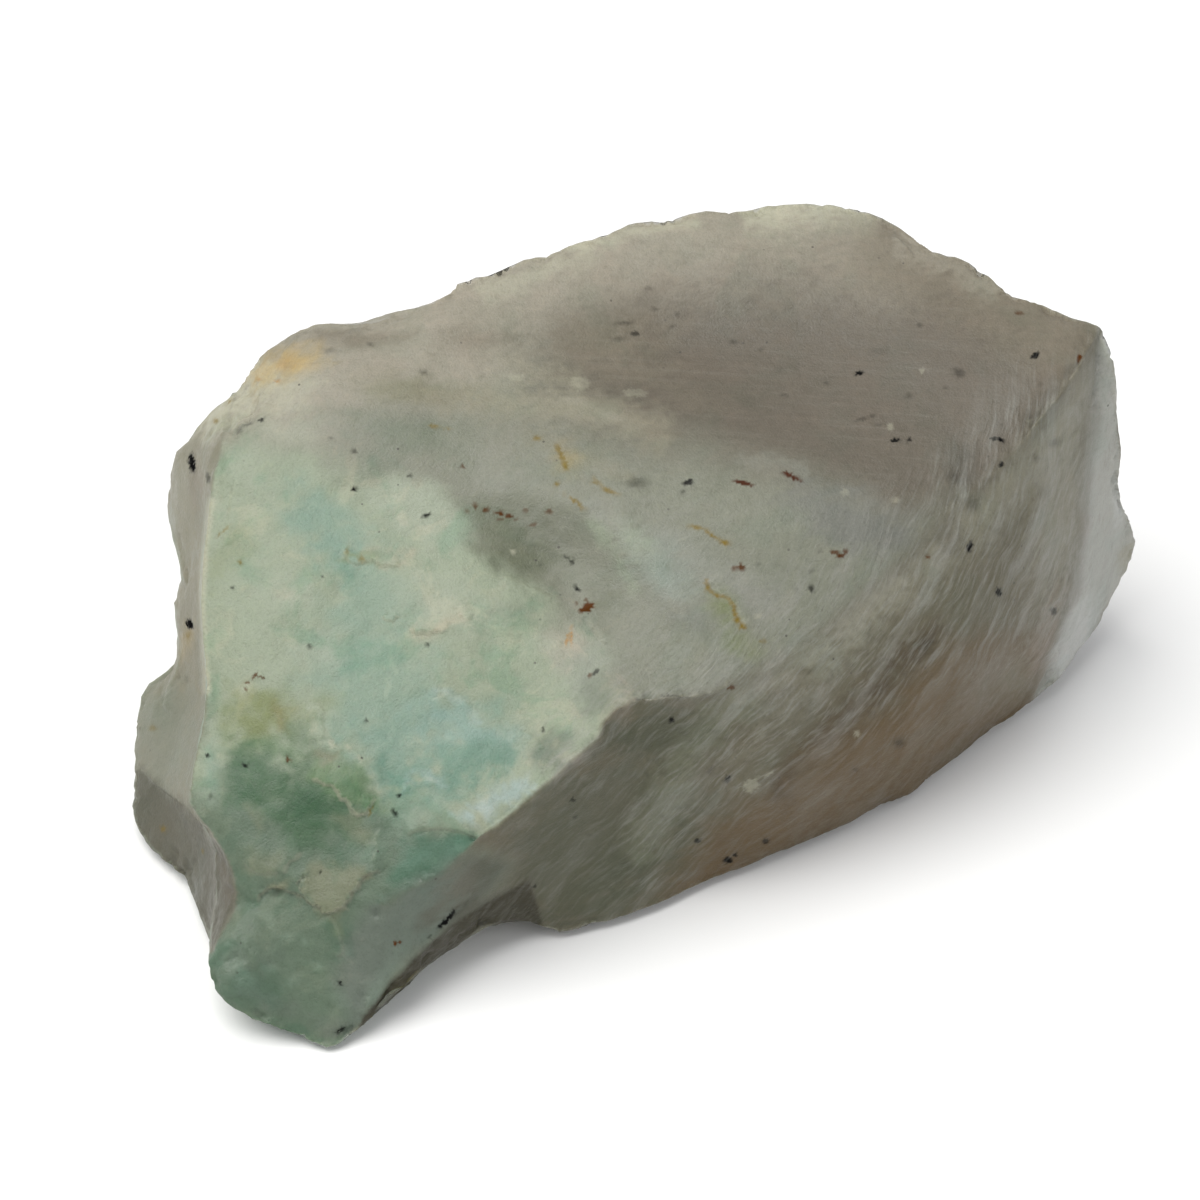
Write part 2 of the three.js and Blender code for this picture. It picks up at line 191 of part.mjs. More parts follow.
// left wall with its low lobe, back wall and right back corner: flake scars that meet in soft arrises
const WALL = [
  [-38.99,-10.41,3.34], [-38.11,-5.60,1.69], [-37.52,-1.88,1.12], [-38.18,1.18,0.92], [-38.63,4.18,1.04], [-38.19,6.67,1.86],
  [-37.26,8.69,3.07], [-36.28,10.59,4.36], [-35.16,12.23,5.72], [-33.59,13.40,7.09], [-31.86,12.58,9.00], [-30.93,13.80,10.77],
  [-30.51,15.21,12.61], [-29.42,15.40,14.94], [-29.10,17.35,16.18], [-28.88,18.82,18.00], [-28.36,19.61,20.28], [-27.49,19.66,22.75],
  [15.12,13.82,17.27], [19.15,10.26,22.84], [33.82,3.91,5.41], [-31.17,7.30,16.39], [-5.38,20.46,14.05], [-12.97,19.71,21.27],
  [-1.56,17.10,28.57], [-12.74,21.48,15.95], [-8.99,-18.54,0.35], [4.55,15.10,26.71], [-38.05,-9.07,4.92], [-16.97,20.82,17.42],
  [-28.49,17.01,22.24], [25.56,10.04,3.58], [32.15,5.08,24.48], [-31.52,9.91,13.40], [-1.55,17.79,18.91], [38.89,-6.64,16.68],
  [31.82,5.74,19.75], [-9.57,16.27,2.02], [-35.21,8.79,6.17], [-1.24,16.20,2.40], [1.57,18.04,16.57], [-23.51,16.52,6.47],
  [27.77,9.30,10.71], [6.07,14.01,5.12], [22.76,10.11,6.54], [31.61,5.85,9.23], [12.17,14.58,12.19], [29.49,6.54,1.58],
  [20.00,12.85,31.24], [-31.58,7.06,12.94], [-17.76,-14.78,0.61], [38.53,-5.53,6.42], [-33.52,9.53,1.08], [13.94,13.54,6.37],
  [-15.55,17.37,4.09], [-5.98,18.27,28.76], [-14.48,18.09,8.29], [8.51,13.46,23.74], [28.64,9.43,12.90], [-1.78,-16.24,0.12],
  [-25.90,15.83,9.34], [40.98,-8.35,9.75], [16.25,13.31,1.48], [-4.27,18.72,10.85], [-29.72,15.26,18.01], [21.59,10.97,16.07],
  [31.25,1.75,28.74], [18.97,11.06,8.80], [-12.53,19.68,11.63], [-8.60,21.08,9.26], [-6.70,18.46,23.67], [11.38,14.70,32.08],
  [22.85,10.51,26.88], [3.29,16.54,24.25], [4.13,15.24,10.59], [-38.48,-8.42,1.98], [-19.75,20.11,25.81], [-28.97,8.10,0.35],
  [-10.58,19.40,5.95], [10.27,13.42,3.26], [28.48,7.71,30.95], [33.51,5.97,13.02], [-36.69,-2.57,3.96], [13.67,11.63,22.75],
  [-37.32,-8.55,9.28], [37.34,-2.71,16.60], [34.12,-0.43,24.20], [2.50,-16.92,0.26], [37.35,-3.94,12.29], [2.45,14.99,6.22],
  [-18.01,17.19,8.31], [37.77,-6.97,20.24], [-30.94,12.49,3.78], [-35.15,3.93,6.92], [35.21,1.14,12.77], [35.25,-1.57,9.14],
  [31.65,1.88,0.26], [-4.94,18.08,3.80], [9.45,13.74,7.22], [-32.86,7.15,9.20], [-36.39,-3.25,6.65], [6.18,15.79,21.46],
  [-9.02,19.47,27.79], [-1.91,18.98,15.29], [6.11,15.38,30.31], [15.49,12.90,14.01], [-22.81,19.51,16.40], [-16.76,18.99,13.65],
  [-29.87,14.28,6.90], [-33.90,2.96,9.58], [36.05,-6.25,3.45], [29.99,10.09,16.75], [24.70,11.16,32.50], [-8.93,17.02,31.15],
  [-6.64,19.18,19.08], [-12.78,14.64,1.05], [-28.89,16.40,21.22], [-29.11,9.93,23.93], [24.07,9.86,22.31], [-38.73,-16.68,0.98],
  [-24.82,19.92,20.64], [-5.18,16.70,31.75], [-27.07,16.02,11.41], [23.97,9.96,13.28], [-15.57,12.43,0.08], [32.84,-2.77,28.73],
  [-23.36,20.41,22.45], [-22.27,12.51,1.20], [-14.69,19.73,28.27], [-24.87,-18.25,1.28], [-39.79,-13.70,1.66], [-28.92,12.33,21.00],
  [26.53,9.46,7.12], [-31.91,4.86,15.88], [8.71,16.30,17.79], [-30.58,11.72,16.14], [-23.75,20.14,24.77], [-0.88,16.68,9.41],
  [16.24,13.29,31.96], [25.49,10.35,16.74], [8.03,-17.72,0.44], [-24.81,19.30,17.05], [-33.30,1.56,14.07], [19.02,11.34,13.70],
  [-35.42,0.50,8.86], [13.25,13.42,0.99], [-35.71,-1.82,12.08], [-33.30,2.19,11.90], [26.31,9.47,28.61], [1.11,16.37,30.58],
  [2.56,14.86,1.25], [-38.10,-14.48,0.26], [-36.73,2.07,3.37], [-27.93,14.04,23.95], [-24.19,14.62,3.92], [7.04,16.22,15.72],
  [-18.90,19.50,29.66], [-28.52,14.59,8.57], [-21.28,20.49,20.12], [-31.47,6.13,20.71], [-29.40,13.38,18.90], [-20.61,16.47,4.14],
  [-1.75,17.12,23.18], [35.89,1.17,17.98], [-23.70,17.75,12.23], [-37.21,-4.57,11.41], [-17.02,19.66,22.03], [12.11,12.98,27.73],
  [-29.79,9.88,20.38], [15.93,11.68,25.98], [-34.09,9.51,7.92], [-31.13,12.78,13.90], [12.03,15.49,16.47], [34.61,-0.26,4.07],
  [34.63,4.17,9.35], [-25.66,10.59,0.78], [29.65,9.44,24.06], [-35.05,7.10,0.18], [13.07,13.88,9.05], [-15.26,-17.87,0.30],
  [32.71,-11.57,1.48], [-36.50,4.99,3.88], [-30.08,10.72,18.27], [-12.51,18.93,29.90], [-31.78,4.91,0.06], [29.36,8.29,28.10],
  [36.44,-7.36,24.66], [-36.01,1.26,6.26], [-31.82,10.77,11.10], [-9.75,22.02,13.89], [-26.47,17.63,15.51], [11.73,-16.78,0.27],
  [-21.08,-18.13,2.38], [-35.33,5.78,5.78], [-5.00,-17.78,0.30], [30.44,5.94,5.29], [-33.12,1.91,17.54], [19.00,12.34,18.15],
  [-32.01,4.50,12.46], [-36.64,-3.90,9.07], [-36.93,-6.06,5.91], [-19.03,14.07,1.47], [19.51,11.80,27.91], [-40.02,-12.51,3.54],
  [-27.56,13.04,26.14], [35.74,-7.57,27.89], [4.29,17.65,17.59], [-38.88,-11.53,0.96], [-38.69,-11.04,5.72],
];

// ---- the net ------------------------------------------------------------------------
const V = (p) => new THREE.Vector3(p[0], p[1], p[2]);
const relief = [RIM, TOP_ARRIS, LOW_ARRIS, END_ARRIS, UNDER_LIP, KEEL_NOTCH, TIP_LEDGE, TIP_RIDGE, FACE];
const walls = [BASE_EDGE, BASE, WALL];
const start = new Map();
let count = 0;
for (const t of [...relief, ...walls]) { start.set(t, count); count += t.length; }
const points = [...relief, ...walls].flat().map(V);
const rimCount = RIM.length;
const reliefCount = start.get(BASE_EDGE);

// arrises as chains of point numbers; some begin or end on RIM or on each other
const run = (t, from = 0, to = t.length) => Array.from({ length: to - from }, (_, i) => start.get(t) + from + i);
const chains = [
  { name: 'rim', ids: [...run(RIM), 0], angle: RIM_ANGLE },
  { name: 'left arris', ids: run(RIM, 44, 66), angle: ARRIS_ANGLE },
  { name: 'top arris', ids: [0, ...run(TOP_ARRIS)], angle: ARRIS_ANGLE },
  { name: 'low arris', ids: [start.get(TOP_ARRIS) + TOP_ARRIS.length - 1, ...run(LOW_ARRIS)], angle: 8 },
  { name: 'end arris', ids: [0, ...run(END_ARRIS), 13], angle: ARRIS_ANGLE },
  { name: 'under lip', ids: run(UNDER_LIP), angle: ARRIS_ANGLE },
  { name: 'keel notch', ids: run(KEEL_NOTCH), angle: ARRIS_ANGLE },
  { name: 'tip ledge', ids: [47, ...run(TIP_LEDGE)], angle: 14 },
  { name: 'tip ridge', ids: [169, ...run(TIP_RIDGE)], angle: 14 },
  { name: 'base edge', ids: [...run(BASE_EDGE), start.get(BASE_EDGE)], angle: 0 },
];

function hullTriangles(list) {
  const index = new Map(list.map((v, i) => [v, i]));
  return new ConvexHull().setFromPoints(list).faces.map((face) => {
    const ids = [];
    let e = face.edge;
    do { ids.push(index.get(e.head().point)); e = e.next; } while (e !== face.edge);
    return ids;
  });
}

const key = (a, b) => (a < b ? a * 65536 + b : b * 65536 + a);
const ends = (k) => [Math.floor(k / 65536), k % 65536];
const sides = ([a, b, c]) => [[a, b], [b, c], [c, a]];

// relief: flat coordinates as seen from SIGHT, netted by the Delaunay rule (the lower
// hull of the points lifted onto a paraboloid), kept inside RIM
function netRelief() {
  const eye = V(SIGHT);
  const ahead = V(AIM).sub(eye).normalize();
  const right = new THREE.Vector3().crossVectors(ahead, new THREE.Vector3(0, 0, 1)).normalize();
  const up = new THREE.Vector3().crossVectors(right, ahead);
  const flat = points.slice(0, reliefCount).map((p) => {
    const d = p.clone().sub(eye);
    const w = d.dot(ahead);
    return [(d.dot(right) / w) * 10, (d.dot(up) / w) * 10];
  });
  const lifted = flat.map(([x, y]) => new THREE.Vector3(x, y, x * x + y * y));
  const inRim = (x, y) => {
    let inside = false;
    for (let i = 0, j = rimCount - 1; i < rimCount; j = i++) {
      const [xi, yi] = flat[i], [xj, yj] = flat[j];
      if (yi > y !== yj > y && x < ((xj - xi) * (y - yi)) / (yj - yi) + xi) inside = !inside;
    }
    return inside;
  };
  const out = [];
  for (const t of hullTriangles(lifted)) {
    const [a, b, c] = t.map((i) => flat[i]);
    const turn = (b[0] - a[0]) * (c[1] - a[1]) - (b[1] - a[1]) * (c[0] - a[0]);
    const n = new THREE.Vector3().crossVectors(
      lifted[t[1]].clone().sub(lifted[t[0]]), lifted[t[2]].clone().sub(lifted[t[0]]));
    if (n.z >= 0) continue; // upper hull
    if (!inRim((a[0] + b[0] + c[0]) / 3, (a[1] + b[1] + c[1]) / 3)) continue;
    out.push(turn > 0 ? t : [t[0], t[2], t[1]]);
  }
  return out;
}

// walls and underside: netted over directions from INSIDE, from the base out to RIM
function netWalls() {
  const centre = V(INSIDE);
  const ids = [...Array(rimCount).keys(), ...Array(count - reliefCount).fill(0).map((_, i) => reliefCount + i)];
  const dirs = ids.map((i) => points[i].clone().sub(centre).normalize());
  const tris = hullTriangles(dirs).map((t) => {
    const [a, b, c] = t.map((i) => dirs[i]);
    const n = new THREE.Vector3().crossVectors(b.clone().sub(a), c.clone().sub(a));
    return n.dot(a) < 0 ? [t[0], t[2], t[1]] : t;
  });
  const touching = new Map();
  tris.forEach((t, k) => sides(t).forEach(([a, b]) => {
    const e = key(a, b);
    if (!touching.has(e)) touching.set(e, []);
    touching.get(e).push(k);
  }));
  const rimEdges = new Set(Array.from({ length: rimCount }, (_, i) => key(i, (i + 1) % rimCount)));
  const first = tris.findIndex((t) => t.every((i) => ids[i] >= start.get(BASE) && ids[i] < start.get(WALL)));
  const seen = new Set([first]);
  const todo = [first];
  while (todo.length) {
    for (const [a, b] of sides(tris[todo.pop()])) {
      const e = key(a, b);
      if (rimEdges.has(e)) continue;
      for (const k of touching.get(e)) if (!seen.has(k)) { seen.add(k); todo.push(k); }
    }
  }
  return [...seen].sort((a, b) => a - b).map((k) => tris[k].map((i) => ids[i]));
}

let triangles = [...netRelief(), ...netWalls()];

// ---- sharp edges ----------------------------------------------------------------------
const faceNormal = ([a, b, c]) => new THREE.Vector3().crossVectors(
  points[b].clone().sub(points[a]), points[c].clone().sub(points[a])).normalize();

function edgeMap(tris) {
  const map = new Map();
  tris.forEach((t, k) => sides(t).forEach(([a, b]) => {
    const e = key(a, b);
    if (!map.has(e)) map.set(e, []);
    map.get(e).push(k);
  }));
  return map;
}

function sharpEdges() {
  const map = edgeMap(triangles);
  const angle = (e) => {
    const [f, g] = map.get(e).map((k) => faceNormal(triangles[k]));
    return THREE.MathUtils.radToDeg(Math.acos(THREE.MathUtils.clamp(f.dot(g), -1, 1)));
  };
  const sharp = new Set();
  for (const c of chains) {
    for (let i = 1; i < c.ids.length; i++) {
      const e = key(c.ids[i - 1], c.ids[i]);
      if (map.has(e) && (c.angle === 0 || angle(e) > c.angle)) sharp.add(e);
    }
  }
  for (const e of map.keys()) if (ends(e)[0] >= reliefCount && angle(e) > SCAR_ANGLE) sharp.add(e);
  return sharp;
}

// ---- split each triangle in four along curved edges ------------------------------------
function split(sharp) {
  const map = edgeMap(triangles);
  const normals = triangles.map(faceNormal);
  const around = points.map(() => []);
  triangles.forEach((t, k) => t.forEach((a) => around[a].push(k)));
  const chained = points.map(() => []);
  for (const e of sharp) { const [a, b] = ends(e); chained[a].push(b); chained[b].push(a); }
  // one normal per point and per fan of triangles that no sharp edge divides
  const fan = new Map();
  points.forEach((p, a) => {
    const parent = new Map(around[a].map((k) => [k, k]));
    const find = (k) => { while (parent.get(k) !== k) k = parent.get(k); return k; };
    for (const k of around[a]) for (const b of triangles[k]) {
      if (b === a || sharp.has(key(a, b))) continue;
      const [f, g] = map.get(key(a, b));
      parent.set(find(f), find(g));
    }
    const sum = new Map();
    for (const k of around[a]) {
      const t = triangles[k], i = t.indexOf(a);
      const u = points[t[(i + 1) % 3]].clone().sub(p), v = points[t[(i + 2) % 3]].clone().sub(p);
      const r = find(k);
      if (!sum.has(r)) sum.set(r, new THREE.Vector3());
      sum.get(r).addScaledVector(normals[k], u.angleTo(v));
    }
    for (const k of around[a]) fan.set(k * 4 + triangles[k].indexOf(a), sum.get(find(k)).clone().normalize());
  });
  const onwards = (x, y) => { // next point of the sharp chain beyond x, coming from y
    const d = points[x].clone().sub(points[y]).normalize();
    let best = null, most = 0.3;
    for (const z of chained[x]) {
      if (z === y) continue;
      const c = points[z].clone().sub(points[x]).normalize().dot(d);
      if (c > most) { most = c; best = z; }
    }
    return best;
  };
  const middle = new Map();
  const next = new Set();
  for (const [e, faces] of map) {
    const [a, b] = ends(e);
    const pa = points[a], pb = points[b];
    const m = pa.clone().add(pb).multiplyScalar(0.5);
    if (sharp.has(e)) {
      const long = pa.distanceTo(pb), na = onwards(a, b), nb = onwards(b, a);
      const ta = (na === null ? pb.clone().sub(pa) : pb.clone().sub(points[na])).setLength(long);
      const tb = (nb === null ? pb.clone().sub(pa) : points[nb].clone().sub(pa)).setLength(long);
      m.addScaledVector(ta.sub(tb), 1 / 8);
    } else {
      const k = faces[0], t = triangles[k];
      const nA = fan.get(k * 4 + t.indexOf(a)), nB = fan.get(k * 4 + t.indexOf(b));
      const d = pb.clone().sub(pa);
      m.addScaledVector(nA, -d.dot(nA) / 8).addScaledVector(nB, d.dot(nB) / 8);
    }
    m.z = Math.max(m.z, 0);
    middle.set(e, points.length);
    if (sharp.has(e)) { next.add(key(a, points.length)); next.add(key(b, points.length)); }
    points.push(m);
  }
  triangles = triangles.flatMap(([a, b, c]) => {
    const ab = middle.get(key(a, b)), bc = middle.get(key(b, c)), ca = middle.get(key(c, a));
    return [[a, ab, ca], [ab, b, bc], [ca, bc, c], [ab, bc, ca]];
  });
  return next;
}

let sharp = sharpEdges();
for (let i = 0; i < SPLITS; i++) sharp = split(sharp);

// ---- the stone --------------------------------------------------------------------------
const geometry = new THREE.BufferGeometry();
geometry.setAttribute('position', new THREE.Float32BufferAttribute(points.flatMap((p) => [p.x, p.y, p.z]), 3));
geometry.setIndex(triangles.flat());
geometry.scale(SCALE, SCALE, SCALE);
geometry.computeVertexNormals();

const stone = new THREE.Mesh(geometry, new THREE.MeshStandardMaterial({ color: COLOUR, roughness: ROUGHNESS, metalness: 0 }));
stone.name = 'opal_stone';

const model = new THREE.Group();
model.name = 'rough_blue_opal';
model.add(stone);

export default model;
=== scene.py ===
import bpy, math
import numpy as np
from mathutils import Matrix, kdtree


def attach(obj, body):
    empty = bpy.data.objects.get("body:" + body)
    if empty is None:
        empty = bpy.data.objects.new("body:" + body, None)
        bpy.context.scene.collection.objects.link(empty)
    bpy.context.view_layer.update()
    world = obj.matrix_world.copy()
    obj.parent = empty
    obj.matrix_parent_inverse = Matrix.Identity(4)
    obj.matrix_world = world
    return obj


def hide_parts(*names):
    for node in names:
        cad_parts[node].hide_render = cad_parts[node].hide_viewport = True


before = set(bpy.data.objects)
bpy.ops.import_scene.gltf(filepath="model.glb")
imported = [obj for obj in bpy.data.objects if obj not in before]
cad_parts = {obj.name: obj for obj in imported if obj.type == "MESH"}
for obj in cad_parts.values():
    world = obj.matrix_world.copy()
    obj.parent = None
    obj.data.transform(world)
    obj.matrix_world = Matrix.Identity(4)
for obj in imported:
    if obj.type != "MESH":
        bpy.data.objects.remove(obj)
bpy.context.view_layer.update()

# ---------------------------------------------------------------- viewpoint
# Millimetres in the CAD frame. The camera stands at EYE and looks at AIM.
EYE = np.array((-96.15286272, -175.37006358, 168.22661792))
AIM = np.array((-2.87050979, -1.76316231, 14.25))
HALF = math.radians(10.2)
FOCUS = 600 / math.tan(HALF)          # in the 1200 x 1200 frame
FWD = (AIM - EYE) / np.linalg.norm(AIM - EYE)
RIGHT = np.cross(FWD, (0, 0, 1.0)); RIGHT /= np.linalg.norm(RIGHT)
UP = np.cross(RIGHT, FWD)
PX = 0.075                            # mm across one pixel at the stone


def pixel(p):
    d = p - EYE
    w = d @ FWD
    return np.stack((600 + FOCUS * (d @ RIGHT) / w, 600 - FOCUS * (d @ UP) / w), axis=1)


# ---------------------------------------------------------------- noise
_rs = np.random.RandomState(20)
_perm = np.tile(_rs.permutation(256), 2)
_grad = _rs.normal(size=(256, 3)); _grad /= np.linalg.norm(_grad, axis=1)[:, None]
_jit = _rs.uniform(size=(256, 3))


def _cell(i, j, k):
    return _perm[_perm[_perm[i & 255] + (j & 255)] + (k & 255)]


def perlin(p):
    b = np.floor(p).astype(np.int64)
    f = p - b
    t = f * f * f * (f * (f * 6 - 15) + 10)
    out = 0
    for i in (0, 1):
        for j in (0, 1):
            for k in (0, 1):
                g = _grad[_cell(b[:, 0] + i, b[:, 1] + j, b[:, 2] + k)]
                w = (t[:, 0] if i else 1 - t[:, 0]) * (t[:, 1] if j else 1 - t[:, 1]) * (t[:, 2] if k else 1 - t[:, 2])
                out = out + w * (g * (f - (i, j, k))).sum(1)
    return out * 1.5


def fbm(p, size, octaves=3, seed=0, rough=0.5):
    out, a, s = 0, 1.0, 1.0
    for o in range(octaves):
        out = out + a * perlin(p / size * s + (seed * 17.3 + o * 5.1, seed * 3.7, o * 9.2 + seed))
        a *= rough; s *= 2.03
    return out


def cells(p, size, seed=0):
    """Distance to the nearest and second nearest scattered point, over size, and a number for the nearest."""
    q = p / size + seed * 11.7
    b = np.floor(q).astype(np.int64)
    f1 = np.full(len(p), 9.0); f2 = np.full(len(p), 9.0); who = np.zeros(len(p))
    for i in (-1, 0, 1):
        for j in (-1, 0, 1):
            for k in (-1, 0, 1):
                h = _cell(b[:, 0] + i, b[:, 1] + j, b[:, 2] + k)
                d = np.linalg.norm(b + (i, j, k) + _jit[h] - q, axis=1)
                near = d < f1
                f2 = np.where(near, f1, np.minimum(f2, d))
                who = np.where(near, h / 255.0, who)
                f1 = np.where(near, d, f1)
    return f1, f2, who


def step(a, b, x):
    t = np.clip((x - a) / (b - a), 0, 1)
    return t * t * (3 - 2 * t)


# ---------------------------------------------------------------- distances in the picture plane
def to_line(uv, line, closed=False):
    """Distance in pixels to a broken line, and the side: negative to the left as the line runs, on screen."""
    pts = np.array(line, float)
    if closed:
        pts = np.vstack((pts, pts[:1]))
    best = np.full(len(uv), 1e9); side = np.ones(len(uv)); along = np.zeros(len(uv))
    run = 0.0
    for a, b in zip(pts, pts[1:]):
        ab = b - a
        L = np.hypot(*ab) + 1e-9
        t = np.clip(((uv - a) @ ab) / L ** 2, 0, 1)
        off = uv - a - t[:, None] * ab
        d = np.hypot(off[:, 0], off[:, 1])
        s = np.sign(ab[0] * (uv[:, 1] - a[1]) - ab[1] * (uv[:, 0] - a[0]))
        near = d < best
        side = np.where(near, s, side); along = np.where(near, run + t * L, along); best = np.where(near, d, best)
        run += L
    return best, side, along / max(run, 1e-9)


def inside(uv, poly):
    pts = np.array(poly, float)
    c = np.zeros(len(uv), bool)
    for a, b in zip(pts, np.roll(pts, -1, axis=0)):
        cross = (a[1] > uv[:, 1]) != (b[1] > uv[:, 1])
        x = (b[0] - a[0]) * (uv[:, 1] - a[1]) / (b[1] - a[1] + 1e-12) + a[0]
        c ^= cross & (uv[:, 0] < x)
    return c


def area(uv, poly, soft):
    """1 inside the outline, 0 outside, with a soft edge of that many pixels."""
    d, _, _ = to_line(uv, poly, closed=True)
    d = np.where(inside(uv, poly), d, -d)
    return step(-soft, soft, d)


# ---------------------------------------------------------------- lines on the stone, by picture position
TOP_ARRIS = [(1098, 333), (1086, 352), (1075, 375), (1058, 398), (1040, 420), (1020, 446), (1000, 468), (980, 488), (960, 505),
             (935, 530), (915, 553), (900, 570), (875, 592), (850, 612), (825, 632), (800, 650), (770, 668), (740, 682),
             (715, 693), (690, 698), (662, 699), (635, 701), (617, 708), (604, 722), (597, 738), (582, 752), (565, 766),
             (545, 785), (530, 799), (515, 812), (497, 826), (480, 837)]
LOW_ARRIS = [(480, 837), (466, 852), (452, 866), (438, 876), (420, 884), (402, 893), (382, 903)]
LEFT_ARRIS = [(222, 440), (215, 468), (211, 495), (208, 520), (205, 545), (202, 572), (201, 600), (202, 628), (204, 655),
              (206, 680), (206, 705), (203, 728), (198, 748), (193, 768), (190, 788), (191, 803), (201, 818), (212, 832),
              (222, 850), (231, 866), (236, 882), (235, 900), (229, 918), (221, 934), (213, 950)]
END_ARRIS = [(1097, 350), (1096, 375), (1095, 400), (1093, 430), (1090, 460), (1087, 495), (1084, 530), (1081, 562),
             (1077, 592), (1069, 622), (1059, 648), (1048, 670), (1036, 694)]
UNDER_LIP = [(363, 1016), (380, 998), (400, 974), (420, 953), (440, 935), (462, 917), (485, 902), (508, 890), (530, 879)]

# Thin flakes: the open edge of each, the side it stands proud on (-1 left of the line as it runs, 1 right), its height
# in mm, how far in pixels it takes to run back into the surface, how pale its edge is painted (painted light: a lit,
# glowing edge) and how ragged.
FLAKES = [
    ([(311, 779), (318, 781), (324, 786), (331, 786), (337, 792), (341, 799), (348, 803), (352, 812), (358, 817), (366, 815),
      (372, 806), (375, 797)], -1, 0.30, 34, 1.0, 1.0),
    ([(303, 756), (309, 748), (318, 743), (330, 742), (340, 747), (350, 747), (362, 756), (370, 770), (376, 788), (375, 799)],
     1, 0.10, 20, 0.1, 0.6),
    ([(256, 905), (261, 896), (268, 889), (279, 888), (290, 892), (301, 895), (309, 901), (317, 906), (323, 912), (330, 914),
      (338, 909), (345, 907), (351, 899), (352, 892), (359, 888), (364, 880), (373, 873), (384, 872)], -1, 0.34, 60, 0.6, 1.0),
    ([(286, 874), (288, 865), (296, 858), (304, 852)], -1, 0.16, 22, 0.5, 0.9),
    ([(330, 913), (334, 922), (340, 933), (343, 945), (344, 958)], 1, 0.12, 30, 0.22, 0.6),
    ([(405, 836), (420, 831), (440, 829), (460, 832), (480, 839)], -1, 0.20, 26, 0.35, 0.12),
    ([(296, 884), (303, 878), (301, 888), (308, 897)], -1, 0.14, 12, 0.5, 0.8),
    ([(236, 474), (231, 496), (227, 520), (222, 545)], -1, 0.08, 16, 0.1, 0.5),
    ([(372, 862), (377, 850), (374, 838), (380, 828)], 1, 0.10, 18, 0.2, 0.8),
    ([(430, 700), (446, 692), (462, 697), (474, 706)], 1, 0.08, 18, 0.3, 0.8),
    ([(505, 742), (520, 730), (534, 735), (546, 748)], 1, 0.10, 16, 0.2, 0.8),
    ([(399, 790), (412, 781), (428, 778), (440, 783)], 1, 0.08, 14, 0.3, 0.8),
    ([(140, 768), (152, 782), (168, 794), (184, 806), (196, 818), (206, 830)], -1, 0.16, 26, 0.1, 0.5),
    ([(736, 792), (748, 781), (762, 776), (776, 770)], -1, 0.12, 14, 0.4, 0.8),
    ([(884, 236), (898, 238), (907, 246), (915, 256)], 1, 0.12, 16, 0.0, 0.3),
    ([(346, 546), (341, 556), (349, 562), (360, 565), (372, 562), (386, 568), (402, 567)], -1, 0.15, 26, 0.45, 1.0),
    ([(382, 614), (386, 621), (394, 622), (400, 616)], -1, 0.14, 14, 0.7, 1.0),
    ([(408, 628), (416, 634), (430, 635), (442, 632), (452, 628)], -1, 0.16, 20, 0.8, 1.0),
    ([(455, 612), (463, 619), (472, 620)], -1, 0.12, 14, 0.7, 1.0),
    ([(500, 574), (520, 580), (538, 588), (556, 596)], 1, 0.12, 26, 0.2, 0.8),
    ([(318, 700), (326, 712), (322, 726), (330, 738)], 1, 0.10, 20, 0.2, 0.8),
    ([(585, 620), (596, 634), (604, 646)], -1, 0.10, 18, 0.2, 0.8),
    ([(617, 711), (640, 702), (668, 700), (700, 697), (726, 692)], -1, 0.07, 16, 0.2, 0.2),
    ([(243, 862), (254, 872), (266, 876), (280, 872)], -1, 0.10, 20, 0.2, 0.9),
    ([(706, 580), (716, 588), (722, 600), (734, 606), (742, 620), (746, 632)], -1, 0.12, 22, 0.2, 0.8),
]
